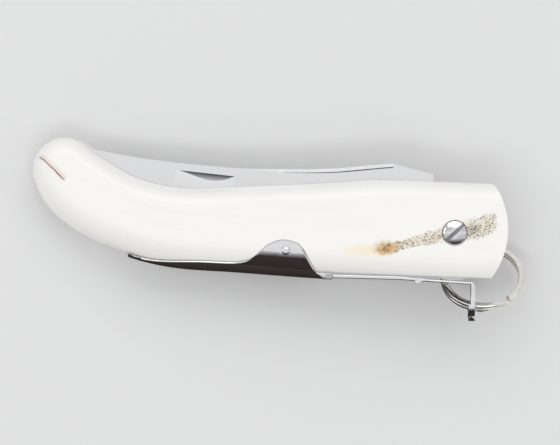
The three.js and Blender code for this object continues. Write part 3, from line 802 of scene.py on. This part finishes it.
# %% Make the screw and its nut
HEAD_RIM = 0.72
HEAD_DOME = 0.925
DRIVER_HALF = 0.5
DRIVER_DEPTH = 0.8
HEAD_SEAT = SIDE_AT_PIVOT - HEAD_SINK + 0.05
SHANK = 1.5
BARREL = 2.5
THREAD = 1.6
SHANK_END = 2.2  # above the nut's head
THREAD_END = 1.9


def head_profile():
    """A straight rim and a dome, as pairs of radius and height above the head's seat."""
    profile = [(0, 0), (HEAD_RADIUS, 0), (HEAD_RADIUS, HEAD_RIM - 0.12)]
    for share in np.linspace(0.04, 1, 24):
        profile.append((HEAD_RADIUS * (1 - share), HEAD_RIM + HEAD_DOME * (1 - (1 - share) ** 2)))
    return profile


def slotted_head(name, side, turn):
    """A domed head on one side of the handle, with a screwdriver slot."""
    profile = [(radius, side * (HEAD_SEAT + height)) for radius, height in head_profile()]
    head = turned(name, (0, 0), profile, 128)
    top = HEAD_SEAT + HEAD_RIM + HEAD_DOME
    angle = math.radians(turn)
    along = np.array([math.cos(angle), math.sin(angle)])
    across = np.array([-along[1], along[0]])
    corners = [along * a * 6 + across * b * DRIVER_HALF for a, b in ((-1, -1), (1, -1), (1, 1), (-1, 1))]
    low, high = sorted((side * (top - DRIVER_DEPTH), side * (top + 1)))
    combine(head, [plate("driver", corners, low, high)])
    soften(head, 0.07, 2, 30)

    def in_slot(x, y, z, _):
        """Whether a face is the floor or a side of the slot, not the dome or the rim."""
        between = abs(x * across[0] + y * across[1]) < DRIVER_HALF + 0.02
        inside = math.hypot(x, y) < HEAD_RADIUS - 0.02 or abs(z) > HEAD_SEAT + 0.5
        return between and inside and HEAD_SEAT + 0.3 < abs(z) < top - 0.02

    mark_faces(head, in_slot)
    return head


screw = slotted_head("pivot_screw_head", 1, 42)
combine(screw, [rod("shank", (0, 0), SHANK, SHANK_END - HEAD_SEAT, HEAD_SEAT + 0.2)], "UNION")
soften(screw, 0, 2, 30)
nut = slotted_head("pivot_nut_head", -1, -18)
combine(nut, [rod("barrel", (0, 0), BARREL, -HEAD_SEAT - 0.2, HEAD_SEAT - 0.05)], "UNION")
combine(nut, [rod("thread", (0, 0), THREAD, THREAD_END - HEAD_SEAT, HEAD_SEAT + 1)])
soften(nut, 0, 2, 30)
for piece, node in ((screw, "pivot_screw"), (nut, "pivot_nut")):
    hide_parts(node)
    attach(piece, "grip")
print("screw", len(screw.data.polygons), "faces, nut", len(nut.data.polygons))

# %% [markdown]
# The rivet goes through both ears of the saddle. It is turned as one piece, with a hammered dome at
# either end, and it stands on the ears' outer sides.

# %% Make the rivet
RIVET_SHANK = 0.8
RIVET_HEAD = 1.2
RIVET_RISE = 0.549
EAR_TOP = HALF + SADDLE_EXTRA + 0.05


def rivet_profile():
    """A shank between two hammered domes."""
    upper = [(RIVET_SHANK, EAR_TOP)]
    for angle in np.radians(np.linspace(0, 90, 14)):
        upper.append((RIVET_HEAD * math.cos(angle), EAR_TOP + RIVET_RISE * math.sin(angle)))
    lower = [(radius, -height) for radius, height in reversed(upper)]
    return lower + upper


rivet = turned("saddle_rivet_steel", RIVET, rivet_profile(), 64)
soften(rivet, 0, 2, 40)
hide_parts("saddle_rivet")
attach(rivet, "grip")
print("rivet", len(rivet.data.polygons), "faces")

# %% [markdown]
# ## Small tools for node trees
#
# The ring, the finishes and the sky are all node trees. Three helpers build them: one makes a node and
# fills its inputs, one does a sum, and one spreads a stretch of a value over another stretch.

# %% Helpers for node trees


def add_node(tree, kind, inputs=None, mode=None):
    """A node, in a mode if it has several, whose inputs are sockets of other nodes or plain values."""
    node = tree.nodes.new(kind)
    if mode:
        node.mode = mode
    for key, value in (inputs or {}).items():
        if isinstance(value, bpy.types.NodeSocket):
            tree.links.new(value, node.inputs[key])
        else:
            node.inputs[key].default_value = value
    return node


def math_node(tree, operation, *values):
    """A Math node between values, which are sockets or numbers."""
    node = add_node(tree, "ShaderNodeMath", dict(enumerate(values)))
    node.operation = operation
    return node.outputs[0]


def spread(tree, value, low, high, to_low=0.0, to_high=1.0, soft=True):
    """Spreads a stretch of a value over another one."""
    names = ("Value", "From Min", "From Max", "To Min", "To Max")
    node = add_node(tree, "ShaderNodeMapRange", dict(zip(names, (value, low, high, to_low, to_high))))
    node.interpolation_type = "SMOOTHSTEP" if soft else "LINEAR"
    return node.outputs["Result"]


# %% [markdown]
# ## The split ring, by Geometry Nodes
#
# A split ring follows a rule: two turns of flat wire that lie on each other, with one place where the
# wire crosses from the first turn to the second, and two ends that stop on either side of that place. So
# a node tree makes it. A line of points is bent into two turns, its height steps down at the crossing,
# and a small flat section is swept along it. All its sizes are inputs of the tree.

# %% Build the ring's node tree
RING_CENTRE = (8.05, -12.54, -7.9)
RING_TILT = 40.3
RING_RADIUS = 10.93
RING_WIRE = (1.8, 1.15)
RING_GAP = 0.1
RING_ROUND = 0.4
RING_JOG = 14
RING_ENDS_AT = -66
RING_END_GAP = 3  # degrees left free between a wire's end and the crossing
RING_SIZES = {
    "Radius": RING_RADIUS * MM,
    "Layer": (RING_WIRE[1] + RING_GAP) / 2 * MM,
    "Wire width": RING_WIRE[0] * MM,
    "Wire thickness": RING_WIRE[1] * MM,
    "Wire rounding": RING_ROUND * MM,
    "Jog": float(RING_JOG),
}


def ring_tree(finish):
    """Two turns of flat wire as a node group with its sizes as inputs, in metres and degrees."""
    tree = bpy.data.node_groups.new("split_ring", "GeometryNodeTree")
    tree.interface.new_socket("Geometry", in_out="OUTPUT", socket_type="NodeSocketGeometry")
    for name in RING_SIZES:
        tree.interface.new_socket(name, in_out="INPUT", socket_type="NodeSocketFloat")
    sizes = tree.nodes.new("NodeGroupInput").outputs

    def maths(operation, *values):
        return math_node(tree, operation, *values)

    share = tree.nodes.new("GeometryNodeSplineParameter").outputs["Factor"]
    clear = maths("ADD", sizes["Jog"], RING_END_GAP)
    travel = maths("SUBTRACT", 720, maths("MULTIPLY", clear, 2))
    turn = maths("ADD", maths("MULTIPLY", share, travel), clear)
    crossing = (maths("SUBTRACT", 360, sizes["Jog"]), maths("ADD", 360, sizes["Jog"]))
    height = spread(tree, turn, *crossing, sizes["Layer"], maths("MULTIPLY", sizes["Layer"], -1))
    angle = maths("RADIANS", maths("ADD", turn, RING_ENDS_AT))
    spot = add_node(tree, "ShaderNodeCombineXYZ", {
        0: maths("MULTIPLY", maths("COSINE", angle), sizes["Radius"]),
        1: maths("MULTIPLY", maths("SINE", angle), sizes["Radius"]),
        2: height,
    }).outputs[0]
    line = tree.nodes.new("GeometryNodeCurvePrimitiveLine").outputs[0]
    line = add_node(tree, "GeometryNodeResampleCurve", {0: line, "Count": 361}).outputs[0]
    line = add_node(tree, "GeometryNodeSetPosition", {"Geometry": line, "Position": spot}).outputs[0]
    line = add_node(tree, "GeometryNodeSetCurveNormal", {0: line}, "Z_UP").outputs[0]
    section = add_node(tree, "GeometryNodeCurvePrimitiveQuadrilateral", {
        "Width": sizes["Wire width"],
        "Height": sizes["Wire thickness"],
    }).outputs[0]
    rounding = {0: section, "Radius": sizes["Wire rounding"], "Count": 5}
    section = add_node(tree, "GeometryNodeFilletCurve", rounding, "POLY").outputs[0]
    wire = {"Curve": line, "Profile Curve": section, "Fill Caps": True}
    body = add_node(tree, "GeometryNodeCurveToMesh", wire).outputs[0]
    body = add_node(tree, "GeometryNodeRealizeInstances", {0: body}).outputs[0]
    body = add_node(tree, "GeometryNodeSetMaterial", {"Geometry": body, "Material": finish}).outputs[0]
    add_node(tree, "NodeGroupOutput", {0: body})
    return tree


# %% [markdown]
# ## Finishes
#
# Four finishes cover nearly all of the knife: bone, satin steel for the blade, mirror-polished steel for
# the spring and its screws, and nickel for the ring. The washers are brass, and the screws' slots are
# darker steel. The wall of the blade's ground line is dark steel as painted shade. Each finish is a node
# material that reads object coordinates, so that its pattern stays with the piece when it moves. A few
# helpers keep the trees short.

# %% Helpers for finishes


class Finish:
    """A node material under construction."""

    def __init__(self, name):
        self.material = bpy.data.materials.new(name)
        self.material.use_nodes = True
        self.tree = self.material.node_tree
        self.shader = self.tree.nodes["Principled BSDF"]
        self.point = self.node("ShaderNodeMapping", {
            "Vector": self.node("ShaderNodeTexCoord").outputs["Object"],
            "Location": tuple(-v / MM for v in PIVOT),
            "Scale": (1 / MM,) * 3,
        }).outputs[0]

    def node(self, kind, inputs=None):
        return add_node(self.tree, kind, inputs)

    def feed(self, name, value):
        """A socket or a number for an input of the shader."""
        if isinstance(value, bpy.types.NodeSocket):
            self.tree.links.new(value, self.shader.inputs[name])
        else:
            self.shader.inputs[name].default_value = value

    def maths(self, operation, *values):
        return math_node(self.tree, operation, *values)

    def times(self, first, *others):
        """The product of two or more values."""
        for value in others:
            first = self.maths("MULTIPLY", first, value)
        return first

    def plus(self, first, second):
        return self.maths("ADD", first, second)

    def moved(self, location=(0, 0, 0), turn=0.0, scale=(1, 1, 1)):
        """The point in millimetres, shifted, turned about z and stretched."""
        node = self.node("ShaderNodeMapping", {
            "Vector": self.point,
            "Location": location,
            "Rotation": (0, 0, math.radians(turn)),
            "Scale": scale,
        })
        node.vector_type = "TEXTURE"
        return node.outputs[0]

    def noise(self, vector, scale, detail=3.0, rough=0.5):
        values = {"Vector": vector, "Scale": scale, "Detail": detail, "Roughness": rough}
        return self.node("ShaderNodeTexNoise", values).outputs["Fac"]

    def spread(self, *values, soft=True):
        return spread(self.tree, *values, soft=soft)

    def mix(self, share, under, over):
        """A mix of two colours; each is a socket or three numbers."""
        under, over = ((*v, 1) if isinstance(v, tuple) else v for v in (under, over))
        node = self.node("ShaderNodeMix", {"Factor": share, 6: under, 7: over})
        node.data_type = "RGBA"
        return node.outputs[2]

    def split(self, vector):
        return self.node("ShaderNodeSeparateXYZ", {0: vector}).outputs

    def bump(self, height, strength, distance):
        values = {"Height": height, "Strength": strength, "Distance": distance * MM}
        self.feed("Normal", self.node("ShaderNodeBump", values).outputs[0])


# %% [markdown]
# ## Bone
#
# Polished bone is almost white, with faint cream streaks along its grain. Near the pivot the surface has
# been ground down to the porous marrow: a band of brown pores in a cream ground, which starts in an
# orange spot and widens towards the end. The band follows a slightly bent line, so the finish measures
# how far each point is from that line and fills the inside with pores. At the butt a thin crack runs
# into the bone. It is a straight line that noise bends a little, with a pink halo round it.

# %% Choose the bone's colours and lines
BONE_WHITE = (0.90, 0.89, 0.86)
BONE_STREAK = (0.86, 0.835, 0.77)
BAND_CREAM = (0.76, 0.68, 0.53)
BAND_ORANGE = (0.64, 0.37, 0.11)
GLOW = (0.90, 0.76, 0.46)
BAND_GREY = (0.34, 0.30, 0.25)
PORE_BROWN = (0.05, 0.042, 0.035)
PORE_TAN = (0.30, 0.23, 0.15)
CRACK_BROWN = (0.12, 0.05, 0.03)
CRACK_PINK = (0.76, 0.60, 0.50)
CRACK = ((-116.3, 21.6), (-108.9, 14.5))
BAND_LINE = [(-24.0, -4.7), (-19.7, -4.5), (-15.9, -3.8), (-11.9, -2.7), (-6.5, -1.3), (0.0, 0.1),
             (6.4, 1.4), (10.6, 2.8), (12.5, 3.3)]
BAND_HALF = [(-24.0, 0.8), (-18.3, 1.8), (-14.1, 1.6), (-7.7, 2.0), (0.0, 2.5), (5.2, 3.3), (9.5, 3.1),
             (12.5, 2.6)]
BAND_RANGE = (-24.0, 12.5)
HANDLE_LINE = [(-118.0, 20.0), (-109.0, 14.6), (-100.0, 9.2), (-90.0, 4.9), (-77.0, 2.0), (-60.0, 1.3),
               (-34.0, 1.2), (0.0, 0.3), (15.0, 0.0)]

print("the band runs from", BAND_LINE[0], "to", BAND_LINE[-1])

# %% [markdown]
# Each mark on the bone is a mask: a number between 0 and 1 at every point. A Float Curve node holds a
# line across the handle, and cells of a Voronoi texture are the pores.

# %% Helpers for the bone's marks


def line_curve(finish, value, points, low, high):
    """A Float Curve node through points (x, y): x is the value, spread over its own range, and so is y."""
    (x_low, x_high), (y_low, y_high) = low, high
    node = finish.tree.nodes.new("ShaderNodeFloatCurve")
    curve = node.mapping.curves[0]
    for i, (x, y) in enumerate(points):
        spot = ((x - x_low) / (x_high - x_low), (y - y_low) / (y_high - y_low))
        if i < 2:
            curve.points[i].location = spot
        else:
            curve.points.new(*spot)
    node.mapping.update()
    finish.tree.links.new(finish.spread(value, x_low, x_high, soft=False), node.inputs["Value"])
    return finish.spread(node.outputs[0], 0, 1, y_low, y_high, soft=False)


def pore_band(bone, x, y):
    """How much each point belongs to the band of open pores: 1 inside it, 0 outside."""
    line_y = line_curve(bone, x, BAND_LINE, BAND_RANGE, (-5.0, 5.0))
    half_width = line_curve(bone, x, BAND_HALF, BAND_RANGE, (0.0, 4.0))
    wobble = bone.spread(bone.noise(bone.point, 0.5, 3), 0, 1, -1.0, 1.0, soft=False)
    off_line = bone.maths("ABSOLUTE", bone.plus(bone.maths("SUBTRACT", y, line_y), wobble))
    inside = bone.spread(bone.maths("DIVIDE", off_line, half_width), 0.5, 1.15, 1.0, 0.0)
    return bone.times(inside, bone.times(bone.spread(x, -23.0, -19.5), bone.spread(x, 10.6, 12.6, 1.0, 0.0)))


def crack_lines(finish):
    """The crack's own line and its halo: how close a point is to a line that noise bends."""
    middle = tuple((a + b) / 2 for a, b in zip(*CRACK))
    length = math.dist(*CRACK)
    turn = math.degrees(math.atan2(CRACK[1][1] - CRACK[0][1], CRACK[1][0] - CRACK[0][0]))
    along, across, _ = finish.split(finish.moved((*middle, 0), turn))
    bend = finish.spread(finish.noise(finish.point, 0.3, 2), 0, 1, -0.45, 0.45, soft=False)
    offset = finish.plus(across, bend)
    off_line = finish.maths("ABSOLUTE", offset)
    ends = finish.spread(finish.maths("ABSOLUTE", along), length * 0.4, length * 0.52, 1.0, 0.0)
    crack = finish.spread(off_line, 0.06, 0.26, 0.95, 0.0)
    halo = finish.times(finish.spread(off_line, 0.1, 2.0, 1.0, 0.0),
                        finish.spread(offset, -0.6, 0.6, 0.15, 0.75))
    return finish.times(crack, ends), finish.times(halo, ends)


def pore_layer(finish, size, shift, open_share):
    """Small dark cells of one size, more of them and larger ones where the open share is high."""
    where = finish.moved((shift, 0, 0), 18, size)
    cells = finish.node("ShaderNodeTexVoronoi", {"Vector": where, "Scale": 1.0}).outputs
    luck = finish.split(cells["Color"])[0]
    reach = finish.maths("SUBTRACT", finish.times(open_share, 1.15), luck)
    reach = finish.spread(reach, 0.0, 0.9, 0.0, 0.6, soft=False)
    return finish.spread(finish.maths("SUBTRACT", reach, cells["Distance"]), -0.05, 0.08)


def round_spot(finish, centre, radii, strength):
    """A soft oval spot in plan: strength in its middle, nothing at its rim."""
    x, y, _ = finish.split(finish.moved((*centre, 0), 0, (*radii, 1)))
    distance = finish.maths("SQRT", finish.plus(finish.times(x, x), finish.times(y, y)))
    return finish.spread(distance, 0.15, 1.0, strength, 0.0)


# %% [markdown]
# The colours are laid over each other in the order in which they would be seen: grain, ground of the
# band, orange spot, pores, and at last the crack. Open pores are rougher and lie a little lower.

# %% Mix the bone


def make_bone():
    bone = Finish("bone_polished")
    x, y, z = bone.split(bone.point)
    near = bone.spread(z, 0, 3)  # the band and the crack are on the near side only
    # faint cream streaks run along the grain, which follows the handle's bend
    handle_y = line_curve(bone, x, HANDLE_LINE, (-118.0, 15.0), (0.0, 20.0))
    bent = bone.node("ShaderNodeCombineXYZ", {
        0: bone.maths("DIVIDE", x, 34),
        1: bone.maths("DIVIDE", bone.maths("SUBTRACT", y, handle_y), 2.2),
        2: bone.maths("DIVIDE", z, 60),
    })
    grain = bone.noise(bent.outputs[0], 1.0)
    colour = bone.mix(bone.spread(grain, 0.5, 0.78, 0.0, 0.5), BONE_WHITE, BONE_STREAK)
    # the cream ground of the band
    band = bone.times(pore_band(bone, x, y), near)
    clouds = bone.spread(bone.noise(bone.point, 0.9, 4, 0.6), 0.35, 0.62, 0.3, 0.95)
    clouded = bone.times(band, clouds)
    colour = bone.mix(clouded, colour, BAND_CREAM)
    # the orange spot fades into the band on one side, and glows towards the saddle on the other
    glow = round_spot(bone, (-25.4, -4.9), (9.0, 2.6), 0.5)
    spot = round_spot(bone, (-19.4, -4.2), (4.6, 2.8), 1.3)
    tint = bone.times(clouded, bone.spread(x, -19, -9, 0.5, 0.0))
    colour = bone.mix(bone.times(glow, near), colour, GLOW)
    for share in (tint, bone.times(spot, clouds, near)):
        colour = bone.mix(share, colour, BAND_ORANGE)
    # pores: small dark cells, denser and darker beside the screw's head and in the orange spot
    dense = bone.plus(round_spot(bone, (5.2, 1.0), (3.6, 2.9), 1.0),
                      round_spot(bone, (-19.3, -4.8), (2.2, 1.4), 1.0))
    patchy = bone.spread(bone.noise(bone.moved((40, 9, 0)), 0.7), 0.3, 0.55)
    open_share = bone.maths("MAXIMUM", bone.plus(bone.times(patchy, 0.35), 0.5), dense)
    coarse = pore_layer(bone, (0.66, 0.46, 0.66), 0.0, open_share)
    fine = pore_layer(bone, (0.4, 0.3, 0.4), 31.0, open_share)
    pores = bone.times(bone.maths("MAXIMUM", coarse, fine), bone.spread(band, 0.2, 0.6))
    greyed = bone.times(dense, band, bone.spread(x, -10, 0, 0.2, 0.45))
    colour = bone.mix(greyed, colour, BAND_GREY)
    age = bone.spread(bone.noise(bone.moved((7, 3, 1)), 1.6, 2), 0.42, 0.6)
    pore_colour = bone.mix(bone.maths("MAXIMUM", bone.times(dense, 0.8), age), PORE_TAN, PORE_BROWN)
    colour = bone.mix(bone.times(pores, bone.spread(age, 0, 1, 0.55, 0.85)), colour, pore_colour)
    # the crack and its halo
    crack, halo = crack_lines(bone)
    colour = bone.mix(bone.times(halo, near), colour, CRACK_PINK)
    colour = bone.mix(bone.times(crack, near), colour, CRACK_BROWN)
    rough = bone.spread(grain, 0.3, 0.7, 0.3, 0.38)
    bone.feed("Base Color", colour)
    bone.feed("Roughness", bone.plus(rough, bone.times(pores, 0.3)))
    bone.feed("IOR", 1.45)
    bone.feed("Coat Weight", 0.12)
    bone.feed("Coat Roughness", 0.12)
    hollows = bone.maths("MAXIMUM", pores, bone.times(crack, near))
    bone.bump(bone.maths("SUBTRACT", 1.0, hollows), 0.5, 0.08)
    return bone.material


# %% [markdown]
# ## Steel
#
# The blade is ground on a belt and then satined, which leaves very fine lines across it. The spring is
# polished until it mirrors the room. Both are plain metal underneath: what sets them apart is how rough
# the surface is and in which direction. The nail nick's hollow is painted a dull grey as painted shade,
# darkest along its straight wall.

# %% Mix the metals


def make_satin():
    satin = Finish("blade_satin")
    lines = satin.noise(satin.moved(turn=4, scale=(0.16, 9, 9)), 1.0)
    clouds = satin.noise(satin.point, 0.06, 2)
    colour = satin.mix(satin.spread(lines, 0.3, 0.7), (0.81, 0.81, 0.815), (0.825, 0.825, 0.83))
    # the hollow of the nail nick keeps the grey of its cutter
    # painted shade in the nail nick's hollow: a dull, rougher grey, darkest along its straight wall
    x, y, z = satin.split(satin.moved((*NICK_MIDDLE, 0), math.degrees(NICK_TURN)))
    middle_y = satin.plus(y, NICK_WIDTH / 2)
    reaches = ((x, NICK_LENGTH / 2, NICK_LENGTH / 2 + 0.3), (middle_y, 1.2, 1.5),
               (z, BLADE_HALF - 0.06, BLADE_HALF - 0.005))
    nick = satin.times(*(satin.spread(satin.maths("ABSOLUTE", value), low, high, 1.0, 0.0)
                         for value, low, high in reaches))
    hollow = satin.mix(satin.spread(y, -1.7, -0.1, soft=False), (0.40, 0.40, 0.41), (0.07, 0.07, 0.075))
    satin.feed("Base Color", satin.mix(nick, colour, hollow))
    satin.feed("Metallic", satin.spread(nick, 0, 1, 1.0, 0.1))
    rough = satin.plus(satin.spread(lines, 0.3, 0.7, 0.30, 0.38),
                       satin.spread(clouds, 0.3, 0.7, -0.03, 0.03))
    satin.feed("Roughness", satin.plus(rough, satin.times(nick, 0.25)))
    satin.feed("Anisotropic", 0.3)
    satin.bump(lines, 0.12, 0.02)
    return satin.material


def make_polished(name, colour, roughness, wear=0.05):
    metal = Finish(name)
    smears = metal.noise(metal.moved(turn=10, scale=(7, 1.2, 3)), 1.0, 4, 0.55)
    scratches = metal.noise(metal.moved(turn=-12, scale=(9, 0.08, 0.4)), 1.0, 2)
    darker = tuple(v * 0.93 for v in colour)
    metal.feed("Base Color", metal.mix(metal.spread(smears, 0.35, 0.7), colour, darker))
    metal.feed("Metallic", 1)
    metal.feed("Roughness", metal.plus(
        metal.spread(smears, 0.3, 0.75, roughness, roughness + wear),
        metal.spread(scratches, 0.62, 0.75, 0.0, wear),
    ))
    metal.bump(scratches, 0.08, 0.01)
    return metal.material


def coat(piece, *finishes):
    """A material for the whole piece, or two where the piece has faces for a second one."""
    slots = piece.data.materials
    for i, finish in enumerate(finishes):
        if i < len(slots):
            slots[i] = finish
        else:
            slots.append(finish)


polished = make_polished("spring_polished", (0.80, 0.80, 0.81), 0.06)
nickel = make_polished("ring_nickel", (0.95, 0.93, 0.875), 0.22, 0.01)
brass = make_polished("washer_brass", (0.72, 0.52, 0.24), 0.25)
slot_finish = make_polished("slot_milled", (0.32, 0.31, 0.31), 0.4)
coat(handle, make_bone())
# the blade's second finish is dark steel on the ground line's wall: painted shade
coat(blade, make_satin(), make_polished("ground_line_painted_shade", (0.16, 0.16, 0.18), 0.5))
for piece in (saddle, leaf, rivet):
    coat(piece, polished)
for piece in (screw, nut):
    coat(piece, polished, slot_finish)
for name in ("washer_near", "washer_far"):
    coat(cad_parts[name], brass)
print("finishes:", [m.name for m in bpy.data.materials])

# %% [markdown]
# ## The ring in its hole
#
# The node tree makes the ring round its own centre, and it is then leaned and moved to where it hangs in
# the lug's hole. It gets its finish inside the tree.

# %% Make the ring
carrier = add_object("split_ring_nickel", bpy.data.meshes.new("split_ring_nickel"))
modifier = carrier.modifiers.new("ring", "NODES")
modifier.node_group = ring_tree(nickel)
for socket in modifier.node_group.interface.items_tree:
    if socket.in_out == "INPUT":
        modifier[socket.identifier] = RING_SIZES[socket.name]
ring = settle(carrier)
ring.data.transform(
    Matrix.Translation(place(*RING_CENTRE)) @ Matrix.Rotation(-math.radians(RING_TILT), 4, "X")
)
soften(ring, 0, angle=50)
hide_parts("split_ring")
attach(ring, "ring")
print("ring", len(ring.data.polygons), "faces")

# %% [markdown]
# ## The table under the knife
#
# The knife doesn't lie flat: it rests on the split ring and on the butt. A convex hull tells us how. The
# face of the hull that lies under the knife's centre of mass is the plane that the knife stands on, so
# the pale floor is laid in that plane.

# %% Lay the floor
FLOOR_SIDE = 1.5
FLOOR_COLOUR = (0.74, 0.74, 0.74, 1)
FLOOR_GAP = 0.00005
DENSITIES = {"handle": 1900}
STEEL_DENSITY = 7850


def quads(name, points, material):
    """Separate four-cornered faces, as one object."""
    mesh = bpy.data.meshes.new(name)
    mesh.from_pydata(points, [], [tuple(range(i, i + 4)) for i in range(0, len(points), 4)])
    mesh.materials.append(material)
    return add_object(name, mesh)


def dull_material(name):
    """A rough material, with its node tree and its shader's inputs."""
    material = bpy.data.materials.new(name)
    material.use_nodes = True
    inputs = material.node_tree.nodes["Principled BSDF"].inputs
    inputs["Roughness"].default_value = 0.9
    return material, material.node_tree, inputs


def resting_plane():
    """A point of the plane that the knife rests on, and the plane's normal."""
    hull = bmesh.new()
    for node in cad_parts.values():
        for vertex in node.data.vertices:
            hull.verts.new(vertex.co)
    result = bmesh.ops.convex_hull(hull, input=hull.verts)
    centre = mass_centre()
    best = None
    for face in (f for f in result["geom"] if isinstance(f, bmesh.types.BMFace)):
        if face.normal.z <= -0.5 and inside_plan(centre, [v.co for v in face.verts]):
            best = (face.verts[0].co.copy(), -face.normal.copy())
    hull.free()
    return best


def inside_plan(point, corners):
    """Whether a point lies over a polygon, seen from above."""
    signs = []
    for a, b in zip(corners, corners[1:] + corners[:1]):
        signs.append((b.x - a.x) * (point.y - a.y) - (b.y - a.y) * (point.x - a.x))
    return all(s >= 0 for s in signs) or all(s <= 0 for s in signs)


def mass_centre():
    """The knife's centre of mass, from the solids' volumes and what each is made of."""
    total, moment = 0.0, Vector((0, 0, 0))
    for name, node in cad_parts.items():
        node.data.calc_loop_triangles()
        for triangle in node.data.loop_triangles:
            a, b, c = (node.data.vertices[i].co - PIVOT for i in triangle.vertices)
            mass = DENSITIES.get(name, STEEL_DENSITY) * a.dot(b.cross(c)) / 6
            total += mass
            moment += (a + b + c) / 4 * mass
    return PIVOT + moment / total


rest_point, rest_normal = resting_plane()
floor_material, _, floor_inputs = dull_material("floor_pale")
floor_inputs["Base Color"].default_value = FLOOR_COLOUR
floor_inputs["Specular IOR Level"].default_value = 0
corners = [(-FLOOR_SIDE, -FLOOR_SIDE, 0), (FLOOR_SIDE, -FLOOR_SIDE, 0),
           (FLOOR_SIDE, FLOOR_SIDE, 0), (-FLOOR_SIDE, FLOOR_SIDE, 0)]
floor = quads("floor", corners, floor_material)
lean = Vector((0, 0, 1)).rotation_difference(rest_normal)
floor.matrix_world = Matrix.Translation(rest_point - rest_normal * FLOOR_GAP) @ lean.to_matrix().to_4x4()
print("floor leans", round(math.degrees(rest_normal.angle(Vector((0, 0, 1)))), 2), "degrees")

# %% [markdown]
# ## Light
#
# Steel is only as bright as what it mirrors, so the room is lit like a light tent. A sky that is almost
# white overhead and a little dimmer towards the horizon lights everything evenly, and its four corners
# are darker than its walls. A large soft box on the blade's side draws the bright lines along the bevels,
# and a small one stands at the butt. Two fills brighten the bone and the floor. Reflections don't see
# the fills, so they leave no spots on the steel.

# %% Light the tent


SKY_COLOUR = (0.985, 0.99, 1.0, 1)
SKY_BY_HEIGHT = (0.15, 0.95, 0.84, 0.91)
SKY_BY_SEAM = (0.0, 0.12, 1.0, 0.72)
LAMPS = {
    "soft_box": ((1.8, 0.9), 5.6, (0.1, 1.0, 1.05)),
    "soft_box_left": ((0.7, 0.7), 1.6, (-1.3, 0.3, 0.9)),
    "fill_right": ((0.5, 0.5), 0.8, (1.2, -0.3, 0.85)),
    "fill": ((0.9, 0.3), 2.4, (-0.1, -0.5, 1.15)),
}


def lamp(name, size, watts, position):
    """A soft area lamp that looks at the knife."""
    data = bpy.data.lights.new(name, "AREA")
    data.shape = "RECTANGLE"
    data.size, data.size_y = size
    data.energy = watts
    item = add_object(name, data)
    item.location = position
    item.rotation_euler = (-item.location).to_track_quat("-Z", "Y").to_euler()
    item.visible_glossy = not name.startswith("fill")


for name, values in LAMPS.items():
    lamp(name, *values)

world = bpy.data.worlds.new("tent")
world.use_nodes = True
tent = world.node_tree
sky = tent.nodes["Background"]
direction = tent.nodes.new("ShaderNodeTexCoord").outputs["Generated"]
x, y, height = add_node(tent, "ShaderNodeSeparateXYZ", {0: direction}).outputs
seam = math_node(tent, "ABSOLUTE", math_node(tent, "MULTIPLY", x, y))
strength = math_node(
    tent,
    "MULTIPLY",
    spread(tent, height, *SKY_BY_HEIGHT),
    spread(tent, seam, *SKY_BY_SEAM, soft=False),
)
tent.links.new(strength, sky.inputs["Strength"])
sky.inputs["Color"].default_value = SKY_COLOUR
bpy.context.scene.world = world

# %% [markdown]
# ## The dark card
#
# On the back's side stands a dark card, which fades to grey at its top and which only reflections can
# see. It gives the round back of the spring its dark band. Two strips of it lie on the floor beside the
# back, one along the handle and a narrow one at the lug, because the steel there mirrors the floor.

# %% Stand the dark card
CARD_DISTANCE = 0.55
CARD_HEIGHT = 1.0
CARD_FADE_FROM = 0.55
CARD_LIFT = 0.0003
CARD_DARK = (0.028, 0.018, 0.015, 1)
CARD_GREY = (0.62, 0.62, 0.64, 1)
CARD_NEAR = -0.01
CARD_END = place(-4, 0).x
LUG_STRIP = (place(LUG_FRONT - 6, 0).x, place(LUG_FRONT + 3, 0).x)


def on_floor(x, y):
    """A point just over the leaning floor."""
    rise = (rest_normal.x * (x - rest_point.x) + rest_normal.y * (y - rest_point.y)) / rest_normal.z
    return (x, y, rest_point.z - rise + CARD_LIFT)


card_material, tree, card_inputs = dull_material("card_dark")
card_point = tree.nodes.new("ShaderNodeTexCoord").outputs["Object"]
height = add_node(tree, "ShaderNodeSeparateXYZ", {0: card_point}).outputs[2]
fade = spread(tree, height, CARD_FADE_FROM, CARD_HEIGHT, soft=False)
tone = add_node(tree, "ShaderNodeMix", {"Factor": fade, 6: CARD_DARK, 7: CARD_GREY})
tone.data_type = "RGBA"
tree.links.new(tone.outputs[2], card_inputs["Base Color"])
points = [(x, -CARD_DISTANCE, z) for x, z in ((-1, 0), (1, 0), (1, CARD_HEIGHT), (-1, CARD_HEIGHT))]
for left, right in ((-1, CARD_END), LUG_STRIP):
    far, near = -CARD_DISTANCE, CARD_NEAR
    points += [on_floor(x, y) for x, y in ((left, far), (right, far), (right, near), (left, near))]
card = quads("dark_card", points, card_material)
card.visible_camera = False
card.visible_diffuse = False
card.visible_shadow = False
print("card", len(points) // 4, "faces")
